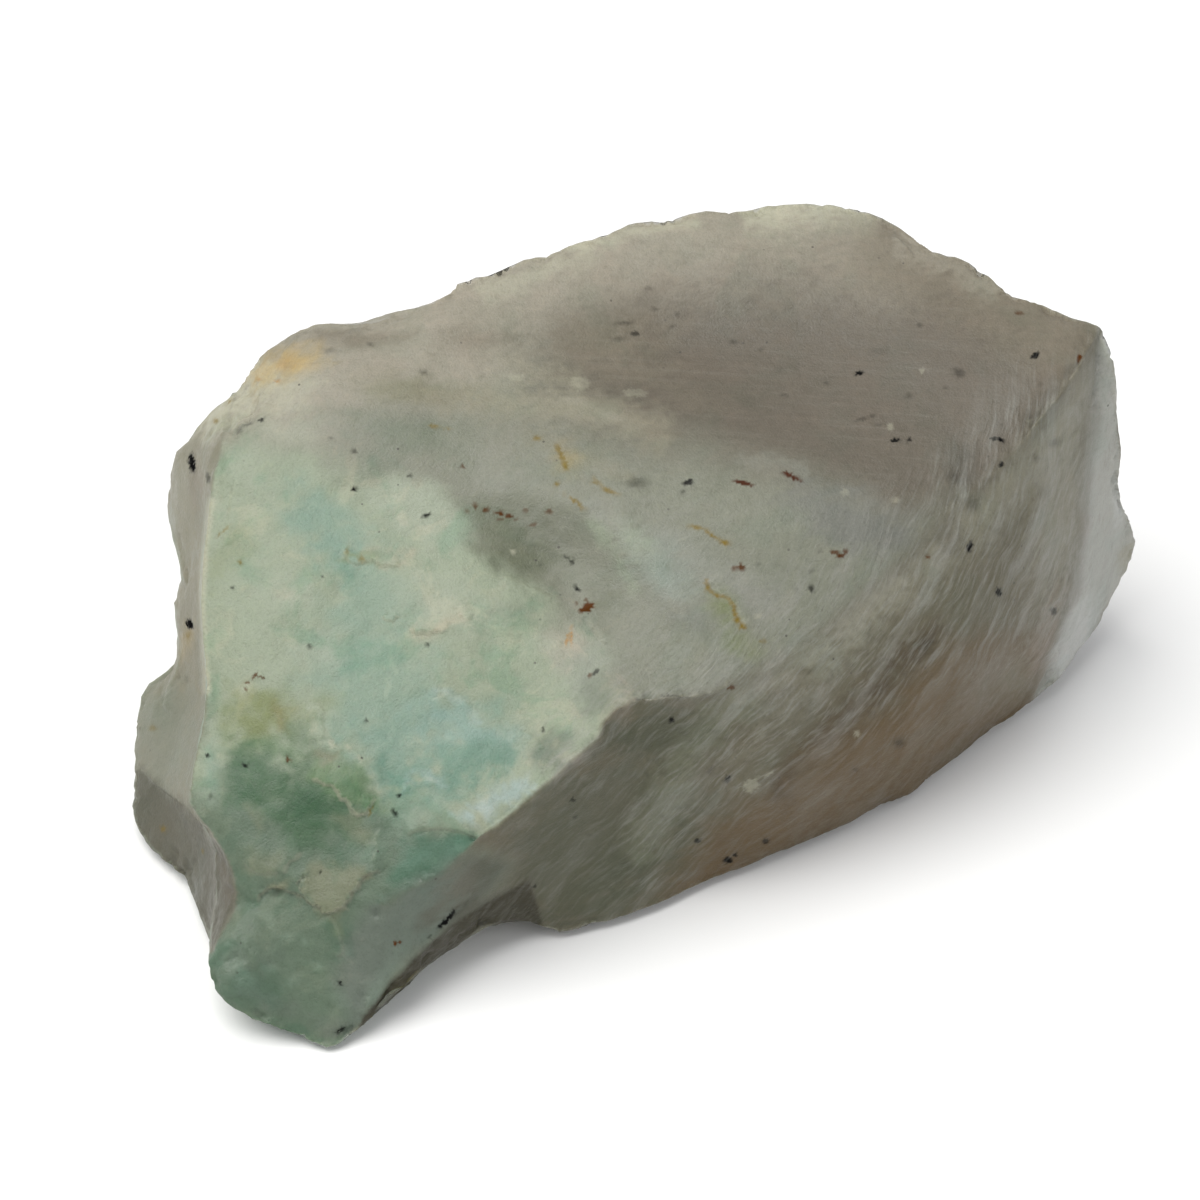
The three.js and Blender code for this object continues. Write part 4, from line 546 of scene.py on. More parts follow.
# hollowed top: pale along its far rim, brownest in its middle
band("cream", [(430, 318), (470, 296), (560, 262), (640, 234), (715, 222), (812, 212), (880, 224)], 125, 1.0, 0.10, top)
band("ivory", [(730, 212), (812, 204), (850, 210), (885, 228)], 38, 0.95, 0.1, top)
band("ivory", [(560, 254), (600, 243), (640, 230), (715, 217)], 15, 0.7, 0.0, top)
band("taupe light", [(905, 245), (960, 262), (1020, 303), (1096, 334)], 95, 0.95, 0.1, top)
band("ivory", [(468, 298), (520, 278), (560, 262), (604, 246)], 26, 0.50, 0.0, top)
dab("cream", 612, 286, 70, 26, -14, 0.5, 0.0, top)
dab("taupe light", 610, 336, 90, 28, -6, 0.5, 0.0, top)
band("cream", [(880, 238), (915, 250), (960, 266), (1010, 300)], 30, 0.65, 0.1, top)
dab("taupe light", 600, 345, 100, 54, -10, 0.7, 0.0, top)
dab("taupe light", 1040, 350, 60, 34, 20, 0.4, 0.0, top)
dab("taupe", 770, 355, 120, 60, -5, 0.6, 0.0, top)
dab("taupe", 980, 410, 80, 50, 0, 0.35, 0.0, top)
dab("smoke", 962, 462, 34, 40, 10, 0.55, 0.0, top)
dab("taupe", 760, 446, 100, 16, 4, 0.35, 0.0, top)
# slope under it
fill("slope", [(300, 400), (560, 428), (700, 446), (800, 478), (900, 520), (960, 505), (960, 600), (850, 660), (740, 760), (640, 780), (580, 800),
               (540, 700), (560, 620), (500, 560), (430, 500), (300, 480)], 42, 1.0, top)
dab("grey", 850, 520, 110, 44, 22, 0.9, 0.2, top)
dab("slope", 420, 350, 60, 40, 0, 0.3, 0.0, top)
band("pearl", [(730, 452), (770, 462), (815, 474)], 16, 0.35, 0.0, top)
band("pale sand", [(440, 398), (520, 402), (570, 408), (620, 418), (690, 446)], 39, 0.75, 0.0, top)
dab("pale sand", 575, 408, 60, 16, 8, 0.6, 0.0, top)
dab("taupe light", 640, 372, 70, 22, 4, 0.5, 0.0, top)
dab("taupe light", 690, 400, 60, 20, 14, 0.35, 0.0, top)
dab("taupe light", 662, 432, 36, 13, 16, 0.55, 0.0, top)
dab("sand", 474, 386, 32, 14, 0, 0.6, 0.0, top)
dab("smoke", 1000, 425, 26, 16, -40, 0.35, 0.0, top)
band("pale sand", [(470, 352), (500, 362), (540, 374), (590, 386)], 30, 0.55, 0.0, top)
dab("rose", 572, 402, 24, 6, 12, 0.45, 0.0, top)
dab("rose", 612, 416, 26, 6, 14, 0.45, 0.0, top)
dab("rose", 506, 376, 16, 6, 10, 0.4, 0.0, top)
band("pearl", [(640, 530), (700, 560), (760, 600), (800, 590)], 39, 0.5, 0.0, top)
dab("silk light", 752, 596, 44, 30, 20, 0.6, 0.0, top)
# shoulder at the left end of the top
fill("cream", [(225, 330), (300, 300), (400, 310), (470, 330), (520, 372), (470, 400), (380, 404), (300, 450), (200, 450)], 26, 0.85, top)
dab("taupe light", 350, 336, 90, 18, 2, 0.75, 0.1, top)
dab("taupe light", 470, 338, 60, 20, 2, 0.5, 0.0, top)
dab("tan green", 395, 388, 60, 24, 4, 0.6, 0.0, top)
dab("sand", 440, 394, 80, 22, 8, 0.7, 0.1, top)
dab("sand", 570, 452, 70, 26, 20, 0.6, 0.0, top)
dab("fog", 405, 436, 80, 28, 12, 0.75, 0.1, top)
dab("fog", 378, 468, 40, 26, 12, 0.55, 0.1, top)
dab("fog", 345, 414, 50, 12, 6, 0.4, 0.0, top)
dab("cloud", 282, 428, 56, 22, 0, 0.5, 0.0, top)
dab("ivory", 285, 392, 60, 34, -30, 0.6, 0.0, top)
band("ivory", [(218, 424), (236, 402), (258, 380), (280, 362)], 30, 0.95, 0.15, top)
# green front
fill("mint pale", [(100, 445), (300, 446), (360, 476), (430, 500), (500, 560), (560, 620), (600, 650), (625, 720), (590, 800), (500, 880), (380, 880),
                   (250, 830), (100, 790)], 26, 1.0, top)
dab("mint", 330, 520, 70, 46, 20, 0.9, 0.2, top)
dab("aqua", 345, 560, 42, 34, 20, 0.85, 0.1, top)
dab("aqua", 318, 522, 44, 34, 20, 0.55, 0.0, top)
dab("lagoon", 356, 584, 26, 20, 20, 0.35, 0.0, top)
dab("mint", 380, 690, 110, 80, 10, 0.9, 0.2, top)
dab("aqua", 395, 745, 80, 60, 0, 0.8, 0.1, top)
dab("mint", 365, 612, 64, 90, 12, 0.85, 0.2, top)
dab("aqua", 340, 660, 40, 60, 20, 0.35, 0.0, top)
dab("cloud", 425, 515, 70, 42, 12, 0.95, 0.25, top)
dab("lagoon", 340, 574, 40, 12, 6, 0.30, 0.0, top)
dab("cloud", 450, 606, 80, 44, 24, 0.75, 0.2, top)
band("butter", [(402, 628), (430, 632), (462, 618), (480, 620)], 16, 0.45, 0.0, top)
band("butter", [(352, 556), (380, 560), (402, 560), (420, 548)], 14, 0.45, 0.0, top)
dab("cloud", 285, 592, 44, 26, 0, 0.8, 0.0, top)
dab("butter", 283, 590, 26, 14, 0, 0.35, 0.0, top)
dab("cloud", 325, 650, 40, 30, 0, 0.7, 0.0, top)
dab("cloud", 245, 480, 34, 60, 5, 0.4, 0.0, top)
dab("rose", 568, 645, 34, 44, 10, 0.75, 0.1, top)
dab("rose", 572, 722, 20, 24, 20, 0.2, 0.0, top)
dab("cloud", 550, 640, 26, 22, 0, 0.45, 0.0, top)
dab("fog", 512, 612, 36, 18, 30, 0.35, 0.0, top)
dab("ice", 470, 732, 78, 46, 8, 0.85, 0.1, top)
dab("mint pale", 500, 680, 44, 26, 0, 0.6, 0.0, top)
band("lagoon", [(362, 772), (405, 780), (450, 776), (490, 764), (520, 748)], 34, 0.9, 0.1, top)
dab("ice", 428, 800, 40, 16, -10, 0.4, 0.0, top)
dab("lagoon", 456, 752, 44, 24, -6, 0.75, 0.1, top)
dab("lagoon", 500, 702, 26, 20, 0, 0.45, 0.0, top)
dab("lagoon", 452, 792, 28, 14, -16, 0.5, 0.0, top)
dab("fog", 560, 762, 16, 26, 10, 0.4, 0.0, top)
dab("moss", 262, 718, 66, 36, 0, 0.9, 0.15, top)
dab("ochre", 282, 716, 22, 14, -10, 0.22, 0.0, top)
dab("moss", 228, 560, 30, 44, 10, 0.35, 0.0, top)
dab("moss", 320, 702, 32, 24, 0, 0.45, 0.0, top)
dab("moss", 226, 704, 26, 26, 0, 0.45, 0.0, top)
dab("leaf", 264, 750, 56, 24, 0, 0.75, 0.1, top)
# painted light: pale bands along the flake edges stand for their highlight and the glow through the thin edge
band("frost", [(440, 822), (480, 808), (515, 794), (550, 772)], 24, 0.85, 0.15, top)
band("frost", [(425, 705), (445, 698), (468, 706), (484, 716)], 9, 0.4, 0.0, top)
band("frost", [(398, 790), (414, 780), (430, 776), (444, 784)], 9, 0.45, 0.0, top)
dab("pearl", 585, 668, 36, 40, 25, 0.45, 0.1, top)
dab("fog", 552, 750, 26, 34, 40, 0.9, 0.15, top)
dab("fog", 600, 704, 40, 30, -20, 0.9, 0.15, top)
dab("side green", 590, 744, 24, 18, -40, 0.5, 0.0, top)
# painted light: a pale lit band along the top arris
band("pearl", [(640, 696), (680, 690), (720, 684), (770, 662)], 14, 0.3, 0.1, top)
# pocket and the ridge round it: the darker pocket and the grey past the ridge are partly painted shade of the relief,
# the pale band on the ridge partly painted light, over the stone's own tones
dab("olive grey", 524, 552, 74, 46, 24, 0.92, 0.1, top)
dab("olive grey", 496, 514, 62, 26, 14, 0.8, 0.05, top)
dab("olive grey", 605, 592, 36, 22, 48, 0.6, 0.1, top)
dab("fog", 585, 530, 40, 12, 32, 0.35, 0.0, top)
dab("grey", 690, 620, 50, 22, 24, 0.4, 0.0, top)
band("pearl", [(576, 500), (612, 526), (640, 556), (664, 584), (690, 612)], 34, 0.45, 0.0, top)
dab("pearl", 672, 572, 100, 44, 40, 0.6, 0.0, top)
dab("ice", 662, 568, 70, 30, 44, 0.22, 0.0, top)
dab("mint pale", 636, 544, 40, 22, 50, 0.6, 0.0, top)
dab("mint pale", 600, 538, 20, 13, 40, 0.75, 0.0, top)
dab("slope", 590, 532, 40, 12, 36, 0.35, 0.0, top)
band("mint pale", [(572, 512), (596, 528), (614, 548), (628, 574), (640, 606)], 12, 0.5, 0.0, top)
# low end
fill("green grey", [(195, 795), (300, 795), (380, 800), (440, 822), (482, 838), (470, 900), (420, 960), (363, 1100), (250, 1080), (150, 1000), (120, 880)], 26, 1.0, top)
dab("sea", 318, 796, 62, 46, 30, 0.95, 0.25, top)
dab("sea", 258, 784, 62, 46, 25, 0.85, 0.2, top)
dab("sea", 310, 742, 34, 26, 20, 0.6, 0.0, top)
dab("sea deep", 315, 808, 34, 22, 20, 0.7, 0.1, top)
dab("sea", 238, 788, 40, 44, 0, 0.75, 0.1, top)
dab("sea", 308, 842, 36, 24, 20, 0.85, 0.15, top)
dab("aqua", 212, 765, 16, 50, 4, 0.45, 0.0, top)
dab("fog", 202, 715, 12, 44, 0, 0.6, 0.0, top)
fill("leaf", [(308, 762), (322, 752), (345, 756), (362, 768), (372, 796), (366, 812), (356, 812), (344, 798), (332, 784), (314, 776)], 5, 0.75, top)
dab("tan green", 330, 749, 26, 10, 0, 0.85, 0.1, top)
dab("tan green", 354, 826, 26, 14, 14, 0.7, 0.0, top)
dab("tan green", 258, 818, 10, 26, 5, 0.6, 0.0, top)
dab("moss", 384, 812, 16, 12, 0, 0.45, 0.0, top)
dab("tan green", 268, 862, 32, 20, 10, 0.55, 0.0, top)
dab("mint", 404, 818, 34, 22, 0, 0.55, 0.1, top)
dab("mint", 368, 842, 26, 22, 0, 0.3, 0.0, top)
fill("tan green", [(302, 884), (316, 872), (340, 864), (366, 860), (374, 872), (364, 880), (352, 898), (332, 914), (314, 904)], 6, 0.78, top)
dab("tan green", 281, 884, 18, 6, -10, 0.8, 0.1, top)
fill("teal", [(404, 836), (420, 832), (446, 830), (478, 838), (462, 864), (436, 880), (410, 890), (396, 870)], 9, 0.95, top)
dab("lagoon", 420, 850, 20, 12, -20, 0.4, 0.0, top)
dab("lagoon", 450, 852, 18, 12, -30, 0.4, 0.0, top)
dab("green grey", 385, 925, 40, 34, 0, 0.6, 0.1, top)
dab("tan green", 340, 925, 8, 30, -18, 0.6, 0.0, top)
for u, v, r in ((262, 925, 13), (286, 936, 10), (306, 941, 9), (270, 958, 15), (318, 968, 14), (292, 984, 16), (246, 966, 12), (340, 996, 14), (356, 950, 12)):
    dab("mint", u, v, r, r * 0.7, u % 40, 0.34, 0.0, top)
lay(TIP_R, "tip grey")
dab("side", 470, 880, 60, 30, -38, 0.8, 0.1, TIP_R)
dab("side green", 500, 868, 50, 24, -30, 0.8, 0.2, TIP_R)
# painted shade: darker towards the under lip, where the shade of the underside begins
dab("underside shade", 460, 912, 44, 14, -40, 0.7, 0.1, TIP_R)
dab("umber", 430, 918, 30, 12, -45, 0.4, 0.0, TIP_R)
dab("mint", 385, 985, 60, 22, -48, 0.35, 0.0, TIP_R)
dab("tip grey", 335, 1030, 60, 18, 5, 0.6, 0.1, top)
dab("tip grey", 265, 1002, 50, 14, 30, 0.5, 0.1, top)
# painted light: the left part of the tip, which faces down and to the left, painted lighter to stand for light it does
# not get
dab("tip grey", 240, 966, 50, 60, -10, 0.45, 0.0, top)
dab("mint", 232, 960, 30, 50, -10, 0.25, 0.0, top)
dab("tan green", 224, 905, 20, 50, -8, 0.35, 0.0, top)
# yellow stains
dab("honey", 292, 364, 50, 26, -12, 0.75, 0.0, top)
dab("honey", 264, 374, 30, 16, -40, 0.5, 0.0, top)
dab("orange", 286, 366, 18, 10, -20, 0.25, 0.0, top)
dab("honey", 566, 458, 24, 28, 0, 0.35, 0.0, top)
dab("moss", 720, 606, 32, 24, 30, 0.7, 0.0, top)
dab("moss", 730, 612, 22, 14, 40, 0.5, 0.0, top)
dab("moss", 355, 560, 32, 8, 10, 0.55, 0.0, top)
dab("ochre", 287, 728, 8, 16, -10, 0.35, 0.0, top)
dab("moss", 738, 640, 46, 20, 30, 0.45, 0.0, top)
dab("sand", 610, 470, 50, 14, 20, 0.4, 0.0, top)
# long side
LOWLEFT = step(760, 600, UV[:, 0])
lay(SIDE, "side")
dab("side green", 590, 850, 150, 100, -35, 0.85, 0.4, SIDE)
# painted shade: a darker band in the recess just under the top arris
dab("side green", 655, 732, 90, 30, -4, 0.95, 0.3, SIDE)
fill("brown", [(640, 950), (672, 888), (705, 832), (747, 803), (777, 783), (816, 750), (880, 706), (940, 650), (1000, 640), (1050, 640),
               (1060, 700), (1040, 780), (900, 860), (700, 960)], 22, 0.95, SIDE)
band("umber", [(752, 812), (800, 766), (842, 722), (884, 682), (920, 640), (946, 596)], 34, 0.9, 0.0, SIDE)
band("plume", [(632, 880), (655, 815), (686, 760), (722, 716), (770, 680)], 39, 0.85, 0.0, SIDE)
band("plume", [(690, 712), (730, 700), (770, 680)], 22, 0.5, 0.0, SIDE)
dab("side", 610, 800, 60, 30, -40, 0.4, 0.0, SIDE)
band("silk", [(1085, 380), (1065, 420), (1020, 475), (960, 535), (900, 585), (840, 632), (780, 672), (740, 692)], 46, 0.9, 0.15, SIDE)
band("silk light", [(790, 672), (835, 640), (872, 600), (905, 560)], 38, 0.85, 0.0, SIDE)
band("silk light", [(720, 776), (752, 744), (800, 700), (850, 652)], 18, 0.30, 0.0, SIDE)
dab("silk", 1060, 520, 44, 130, 12, 0.9, 0.1, SIDE)
dab("silk light", 1056, 450, 26, 60, 20, 0.6, 0.0, SIDE)
dab("side", 930, 600, 80, 34, -50, 0.6, 0.0, SIDE)
dab("smoke", 952, 540, 24, 26, 20, 0.6, 0.0, SEEN)
band("silk", [(880, 640), (830, 690), (790, 740), (720, 800)], 22, 0.2, 0.0, SIDE)
dab("brown light", 985, 670, 80, 60, -40, 0.75, 0.1, SIDE)
dab("silk", 1020, 680, 50, 26, -50, 0.5, 0.0, SIDE)
dab("mauve", 1048, 640, 18, 80, 14, 0.95, 0.1, SIDE)
dab("brown", 822, 756, 66, 30, -40, 0.6, 0.0, SIDE)
PAINT = PAINT * (1 - SIDE[:, None] * (0.0, 0.03, 0.14))
# narrow right end, painted pale as painted light: the thin end lit from the right and glowing through
END_P = area(UV + warp * 4, end_outline, 9) * SEEN
lay(END_P, "white")
dab("strip", 1072, 640, 34, 70, 20, 0.95, 0.2, END_P)
dab("strip", 1118, 505, 12, 50, 6, 0.7, 0.1, END_P)
dab("bone", 1126, 556, 16, 26, 10, 0.9, 0.2, END_P)
dab("silk", 1092, 420, 12, 60, 2, 0.5, 0.1, END_P)
# left wall and its low lobe
lay(IN_WALL, "wall")
dab("lobe", 165, 740, 60, 90, 0, 0.9, 0.3, IN_WALL)
dab("ivory", 222, 408, 60, 28, -38, 0.85, 0.1, IN_WALL)
dab("bone", 182, 510, 26, 90, 6, 0.5, 0.0, IN_WALL)
# painted light: a pale glow painted along the thin left arris
dab("pearl", 208, 600, 8, 150, 1, 0.7, 0.1, IN_WALL)
dab("mauve", 196, 480, 6, 50, 0, 0.35, 0.0, IN_WALL)
dab("honey", 186, 640, 14, 30, 10, 0.3, 0.0, IN_WALL)
fill("lobe low", [(140, 768), (168, 790), (184, 802), (206, 828), (260, 880), (225, 960), (190, 920), (120, 850), (120, 780)], 8, 0.9, IN_WALL)
dab("taupe", 226, 880, 12, 60, -12, 0.5, 0.1, IN_WALL)
# painted light: an ivory glow painted along the left arris
band("ivory", [(212, 500), (205, 545), (202, 600), (205, 660), (206, 690)], 6, 0.6, 0.1, SEEN, UV)
# painted shade: the underside painted dark where it lies in shade
lay(IN_UNDER, "underside shade")
PAINT = PAINT * (1 + 0.10 * RING * np.clip(POCKET * 1.5, 0, 1) * SEEN)[:, None]

# ---- out of sight: the colours run on round the stone and drift to a mix of cream, taupe and grey
E, inv, _ = edges_of(F, len(P))
hid = FACING < 0.03
base3 = np.tile(LOOK["taupe light"], (len(P), 1))
m1 = step(-0.25, 0.35, fbm(P, 13, 4, 41))[:, None]
base3 = base3 + (LOOK["wall"] - base3) * m1
m1 = step(0.05, 0.40, fbm(P, 11, 4, 44))[:, None]
base3 = base3 + (LOOK["mint"] - base3) * m1 * 0.40
m1 = step(0.10, 0.45, fbm(P, 9, 4, 45))[:, None]
base3 = base3 + (LOOK["ivory"] - base3) * m1 * 0.7
m1 = step(0.15, 0.45, fbm(P, 8, 4, 46))[:, None]
base3 = base3 + (LOOK["brown light"] - base3) * m1 * 0.5
m1 = step(0.34, 0.50, fbm(P, 5, 4, 47))[:, None]
base3 = base3 + (LOOK["honey"] - base3) * m1 * 0.22
low = step(14, 2, P[:, 2] + 3 * fbm(P, 6, 3, 42))[:, None]
base3 = base3 + (LOOK["brown light"] - base3) * low * 0.7
tip = step(-14, -34, P[:, 0] + 5 * fbm(P, 7, 3, 43))[:, None]
base3 = base3 + (LOOK["mint"] - base3) * tip * 0.8
PAINT = np.where(hid[:, None], base3, PAINT)
deg = np.bincount(E.ravel(), minlength=len(P))[:, None]
for _ in range(90):
    avg = np.stack([np.bincount(E[:, 0], PAINT[E[:, 1], c], len(P)) + np.bincount(E[:, 1], PAINT[E[:, 0], c], len(P)) for c in range(3)], 1) / deg
    PAINT = np.where(hid[:, None], avg * 0.95 + base3 * 0.05, PAINT)

# ---- grains, the white ones partly painted highlights
KIND = {"ink": "ink", "grey": "ink", "rust": "rust", "wine": "wine", "ochre": "ochre", "orange": "orange", "white": "shell"}
jag = 1.8 * np.stack((perlin(P / 0.22 + 2.3), perlin(P / 0.22 + 7.7)), 1) + 1.0 * np.stack((perlin(P / 0.11 + 5.3), perlin(P / 0.11 + 3.1)), 1)
SPOT = np.zeros(len(P))               # opaque grains: no shine and no depth there
for kind, gu, gv, a, b, turn, s in GRAINS_AND_GLINTS:
    sm = kind in ("grey", "ochre", "orange")
    k_ = 1.25 if sm or kind == "white" else 1.08
    m_ = dab(KIND[kind], gu, gv, a * k_, b * k_, turn, s * (0.62 if kind == "grey" else 0.5 if kind == "white" else 1.0), 0.0 if sm else 0.6, SEEN,
             UV + jag * (1.5 if kind == "white" else 1.2) * min(1.0, max(a, b) / 7))
    if kind != "white":
        SPOT = np.maximum(SPOT, m_)
for name, line, width, amount in (
        ("ochre", [(706, 580), (709, 590), (716, 595), (727, 598), (734, 606), (737, 618), (744, 628)], 3.2, 0.75),
        ("ochre", [(690, 525), (703, 529), (713, 536), (722, 543), (731, 545)], 2.6, 0.6),
        ("ochre", [(556, 445), (561, 455), (565, 467)], 4.0, 0.6),
        ("ochre", [(594, 478), (604, 488), (618, 494)], 3.0, 0.5),
        ("ochre", [(566, 496), (576, 502), (584, 510)], 2.6, 0.6)):
    band(name, line, width, amount, 0.1, SEEN, UV + jag * 0.8)
# painted light: the flake edges painted pale, as lit and glowing thin edges
lay(edge_light * 0.5, "shell")
PAINT = np.clip(PAINT, 0, 1)

# ---------------------------------------------------------------- mesh object
mesh = bpy.data.meshes.new("opal_surface")
mesh.vertices.add(len(P)); mesh.vertices.foreach_set("co", (P / 1000).astype(np.float32).ravel())
mesh.loops.add(len(F) * 3); mesh.loops.foreach_set("vertex_index", F.astype(np.int32).ravel())
mesh.polygons.add(len(F)); mesh.polygons.foreach_set("loop_start", np.arange(0, len(F) * 3, 3, dtype=np.int32))
mesh.update(calc_edges=True)
mesh.validate()
mesh.polygons.foreach_set("use_smooth", np.ones(len(mesh.polygons), bool))


def attribute(name, kind, values):
    a = mesh.attributes.new(name, kind, "POINT")
    a.data.foreach_set("color" if kind == "FLOAT_COLOR" else "vector" if kind == "FLOAT_VECTOR" else "value", values.astype(np.float32).ravel())


attribute("paint", "FLOAT_COLOR", np.hstack((PAINT, np.ones((len(P), 1)))))
attribute("flow", "FLOAT_VECTOR", np.stack((RADIUS, ALONG, (UV[:, 1] - 0.07 * UV[:, 0]) * PX), 1))
attribute("spot", "FLOAT", np.clip(SPOT, 0, 1))
dish = area(UV, [(450, 300), (700, 200), (1000, 280), (1090, 340), (950, 500), (800, 500), (600, 420), (430, 400), (300, 380)], 40) * SEEN
over = (1 - step(10, 90, to_line(UV, TOP_ARRIS[4:26])[0])) * SEEN * (1 - IN_END)
plume = 1 - step(10, 60, to_line(SOFT, [(752, 676), (706, 738), (672, 800), (645, 862)])[0])
earth = area(SOFT, [(640, 950), (672, 888), (705, 832), (747, 803), (777, 783), (816, 750), (880, 716), (950, 670), (1010, 640), (1060, 700), (1040, 780), (900, 860), (700, 960)], 30)
attribute("veil", "FLOAT_VECTOR", np.stack((np.clip(np.maximum(SIDE * (1 - 0.6 * earth) * (1 - LOWLEFT * (0.62 - 0.4 * plume)), 0.75 * over * (1 - TIP_R)) + 0.34 * rest_top * (1 - dish) * (1 - GREEN) + 0.5 * BACK + 0.6 * IN_END, 0, 1), np.maximum(dish, 0.6 * rest_top * (1 - GREEN)) * (1 - over), np.clip(GREEN + 0.25, 0, 1)), 1))
stone = bpy.data.objects.new("opal_surface", mesh)
bpy.context.scene.collection.objects.link(stone)
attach(stone, "root")
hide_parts("opal_stone")

# ---------------------------------------------------------------- material
mat = bpy.data.materials.new("opal")
mat.use_nodes = True
nt = mat.node_tree
nt.nodes.clear()


def node(kind, **props):
    n = nt.nodes.new(kind)
    for k, v in props.items():
        setattr(n, k, v)
    return n


def put(socket, value):
    if isinstance(value, bpy.types.NodeSocket):
        nt.links.new(value, socket)
    else:
        socket.default_value = value


def maths(op, a, b=0.0, clamp=False):
    n = node("ShaderNodeMath", operation=op, use_clamp=clamp)
    put(n.inputs[0], a); put(n.inputs[1], b)
    return n.outputs[0]


def ranged(x, a, b, c=0.0, d=1.0):
    n = node("ShaderNodeMapRange", interpolation_type="SMOOTHSTEP", clamp=True)
    for s, v in zip(n.inputs, (x, a, b, c, d)):
        put(s, v)
    return n.outputs[0]


def vec(op, a, b):
    n = node("ShaderNodeVectorMath", operation=op)
    put(n.inputs[0], a); put(n.inputs[1], b)
    return n.outputs[0]


def noise(v, scale=1.0, detail=3.0, rough=0.5, distort=0.0):
    n = node("ShaderNodeTexNoise")
    put(n.inputs["Vector"], v); n.inputs["Scale"].default_value = scale; n.inputs["Detail"].default_value = detail
    n.inputs["Roughness"].default_value = rough; n.inputs["Distortion"].default_value = distort
    return n.outputs["Fac"]


def blend(kind, fac, a, b):
    n = node("ShaderNodeMix", data_type="RGBA", blend_type=kind)
    put(n.inputs[0], fac); put(n.inputs[6], a); put(n.inputs[7], b)
    return n.outputs[2]


paint = node("ShaderNodeAttribute", attribute_name="paint").outputs["Color"]
clear = maths("SUBTRACT", 1.0, node("ShaderNodeAttribute", attribute_name="spot").outputs["Fac"], True)
flow = node("ShaderNodeAttribute", attribute_name="flow").outputs["Vector"]
veil = node("ShaderNodeSeparateXYZ"); put(veil.inputs[0], node("ShaderNodeAttribute", attribute_name="veil").outputs["Vector"])
on_side, on_dish, on_green = veil.outputs
mm = vec("MULTIPLY", node("ShaderNodeTexCoord").outputs["Object"], (1000.0, 1000.0, 1000.0))

# silky streaks on the long side, along the arcs
wave = node("ShaderNodeTexNoise"); put(wave.inputs["Vector"], mm); wave.inputs["Scale"].default_value = 0.16; wave.inputs["Detail"].default_value = 1.0
braid = node("ShaderNodeTexNoise"); put(braid.inputs["Vector"], mm); braid.inputs["Scale"].default_value = 0.62; braid.inputs["Detail"].default_value = 1.0
bent = vec("ADD", flow, vec("ADD", vec("MULTIPLY", wave.outputs["Fac"], (1.6, 0.0, 0.0)), vec("MULTIPLY", braid.outputs["Fac"], (0.34, 0.0, 0.0))))
fine_a = noise(vec("MULTIPLY", bent, (3.4, 0.38, 0.0)), 1.0, 4.0, 0.62)
parts = node("ShaderNodeSeparateXYZ"); put(parts.inputs[0], bent)
cross = node("ShaderNodeCombineXYZ")
put(cross.inputs[0], maths("MULTIPLY", maths("ADD", parts.outputs[0], maths("MULTIPLY", parts.outputs[1], 0.17)), 3.8)); put(cross.inputs[1], maths("MULTIPLY", parts.outputs[1], 0.45))
fine_b = noise(cross.outputs[0], 1.0, 3.0, 0.6)
fine = maths("MULTIPLY", maths("ADD", fine_a, fine_b), 0.5)
wide = noise(vec("MULTIPLY", bent, (0.80, 0.12, 0.0)), 1.0, 3.0, 0.5)
gap = noise(vec("MULTIPLY", bent, (5.0, 0.95, 0.0)), 1.0, 3.0, 0.6)
silk = maths("MULTIPLY", maths("ADD", maths("MULTIPLY", ranged(fine, 0.46, 0.64), 0.80), maths("MULTIPLY", ranged(wide, 0.46, 0.70), 0.65)), on_side, True)
shade = maths("MULTIPLY", ranged(gap, 0.54, 0.74), on_side)
# thin level streaks in the hollow
split = node("ShaderNodeSeparateXYZ"); put(split.inputs[0], flow)
level = node("ShaderNodeCombineXYZ"); put(level.inputs[0], maths("MULTIPLY", split.outputs[2], 3.4)); put(level.inputs[1], maths("MULTIPLY", split.outputs[0], 0.16))
hair = noise(level.outputs[0], 1.0, 4.0, 0.6)
# clouds and grain everywhere
cloud = noise(mm, 0.30, 5.0, 0.62, 0.6)
depth = noise(vec("ADD", mm, (40.0, 9.0, 3.0)), 0.22, 4.0, 0.6, 0.4)
mottle = noise(mm, 1.7, 4.0, 0.62)
grain = noise(mm, 5.5, 2.0, 0.65)

col = blend("MIX", maths("MULTIPLY", silk, 0.50), paint, (0.262, 0.262, 0.236, 1))
col = blend("MULTIPLY", maths("MULTIPLY", shade, 0.50), col, (0.58, 0.54, 0.49, 1))
col = blend("MIX", maths("MULTIPLY", maths("MULTIPLY", ranged(hair, 0.52, 0.72), on_dish), 0.16), col, (0.215, 0.205, 0.172, 1))
col = blend("MULTIPLY", maths("MULTIPLY", maths("MULTIPLY", ranged(hair, 0.52, 0.30), on_dish), 0.12), col, (0.62, 0.60, 0.58, 1))
col = blend("MULTIPLY", maths("MULTIPLY", maths("MULTIPLY", ranged(cloud, 0.52, 0.64), on_green), 0.9), col, (1.20, 1.12, 1.12, 1))
col = blend("MULTIPLY", maths("MULTIPLY", maths("MULTIPLY", ranged(depth, 0.50, 0.66), on_green), 0.60), col, (0.62, 0.84, 0.76, 1))
col = blend("MULTIPLY", maths("MULTIPLY", ranged(cloud, 0.50, 0.28), 0.22), col, (0.66, 0.74, 0.68, 1))
col = blend("MULTIPLY", maths("MULTIPLY", ranged(mottle, 0.52, 0.34), 0.24), col, (0.70, 0.70, 0.66, 1))
col = blend("MULTIPLY", maths("MULTIPLY", ranged(mottle, 0.54, 0.72), 0.5), col, (1.16, 1.14, 1.12, 1))
col = blend("MULTIPLY", maths("MULTIPLY", ranged(grain, 0.50, 0.34), 0.26), col, (0.66, 0.66, 0.64, 1))
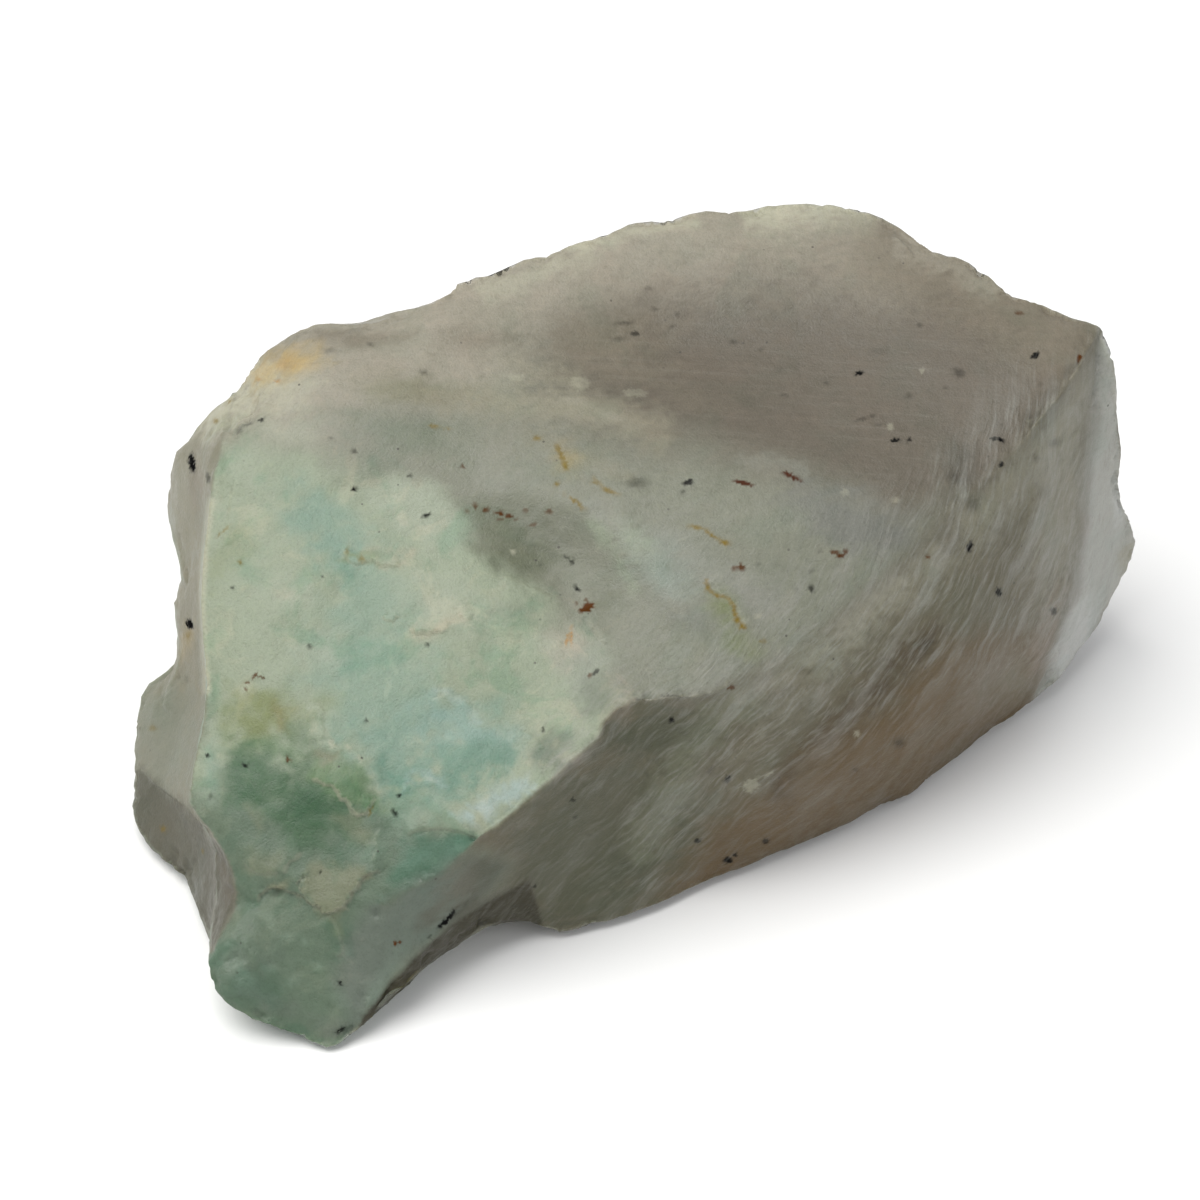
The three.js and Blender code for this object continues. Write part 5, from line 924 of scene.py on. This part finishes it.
# fine dark dust
dust = node("ShaderNodeTexVoronoi", feature="F1"); put(dust.inputs["Vector"], vec("ADD", mm, (0.3, 0.3, 0.3))); dust.inputs["Scale"].default_value = 0.62
speck = maths("MULTIPLY", ranged(dust.outputs["Distance"], 0.075, 0.045), ranged(noise(mm, 0.16, 2.0), 0.46, 0.62))
col = blend("MIX", maths("MULTIPLY", speck, 0.75), col, (0.045, 0.040, 0.034, 1))

bump_h = maths("MULTIPLY", grain, 0.66)
bump_h = maths("ADD", bump_h, maths("MULTIPLY", mottle, 0.8))
bump_h = maths("ADD", bump_h, maths("MULTIPLY", maths("MULTIPLY", fine_a, on_side), 1.5))
bump = node("ShaderNodeBump"); bump.inputs["Strength"].default_value = 0.60; bump.inputs["Distance"].default_value = 0.00011
put(bump.inputs["Height"], bump_h)

bsdf = node("ShaderNodeBsdfPrincipled")
put(bsdf.inputs["Base Color"], col)
put(bsdf.inputs["Roughness"], ranged(maths("ADD", maths("MULTIPLY", mottle, 0.6), maths("MULTIPLY", cloud, 0.4)), 0.36, 0.64, 0.36, 0.56))
bsdf.inputs["IOR"].default_value = 1.45
put(bsdf.inputs["Specular IOR Level"], maths("MULTIPLY", clear, 0.42))
put(bsdf.inputs["Subsurface Weight"], maths("MULTIPLY", clear, 0.30))
bsdf.inputs["Subsurface Radius"].default_value = (1.0, 1.0, 0.85)
bsdf.inputs["Subsurface Scale"].default_value = 0.0012
put(bsdf.inputs["Normal"], bump.outputs[0])
out = node("ShaderNodeOutputMaterial")
nt.links.new(bsdf.outputs[0], out.inputs[0])
mesh.materials.append(mat)

# ---------------------------------------------------------------- floor, light, camera
fm = bpy.data.meshes.new("floor")
fm.from_pydata([(-3, -3, 0), (3, -3, 0), (3, 3, 0), (-3, 3, 0)], [], [(0, 1, 2, 3)])
floor = bpy.data.objects.new("floor", fm)
floor.location.z = -0.00005
bpy.context.scene.collection.objects.link(floor)
pale = bpy.data.materials.new("floor_pale"); pale.use_nodes = True
pb = pale.node_tree.nodes["Principled BSDF"]
pb.inputs["Base Color"].default_value = (0.86, 0.86, 0.86, 1)
pb.inputs["Roughness"].default_value = 0.9
pb.inputs["Specular IOR Level"].default_value = 0.1
fm.materials.append(pale)

world = bpy.data.worlds.new("studio"); bpy.context.scene.world = world
world.use_nodes = True
world.node_tree.nodes["Background"].inputs["Color"].default_value = (0.97, 0.98, 1.0, 1)
world.node_tree.nodes["Background"].inputs["Strength"].default_value = 0.55


def lamp(name, where, size, power, colour=(1, 1, 1)):
    d = bpy.data.lights.new(name, "AREA"); d.shape = "SQUARE"; d.size = size; d.energy = power; d.color = colour
    o = bpy.data.objects.new(name, d)
    pos = np.array(where, float)
    z = pos / np.linalg.norm(pos)
    x = np.cross((0, 0, 1.0), z); x /= np.linalg.norm(x); y = np.cross(z, x)
    o.matrix_world = Matrix([[*r, p] for r, p in zip(np.stack((x, y, z), 1), pos)] + [[0, 0, 0, 1]])
    bpy.context.scene.collection.objects.link(o)


lamp("key", (-0.32, 0.08, 0.80), 0.80, 8.2, (1.0, 0.99, 0.96))
lamp("fill", (0.30, -0.75, 0.45), 0.60, 1.6, (0.97, 0.99, 1.0))

cam = bpy.data.cameras.new("camera"); cam.sensor_width = 36; cam.lens = 18 / math.tan(HALF)
cam.clip_start, cam.clip_end = 0.01, 20
co_ = bpy.data.objects.new("camera", cam)
co_.matrix_world = Matrix([[*r, p] for r, p in zip(np.stack((RIGHT, UP, -FWD), 1), EYE / 1000)] + [[0, 0, 0, 1]])
bpy.context.scene.collection.objects.link(co_)
bpy.context.scene.camera = co_
bpy.context.scene.view_settings.view_transform = "Standard"
bpy.context.scene.view_settings.look = "None"

bpy.context.view_layer.update()
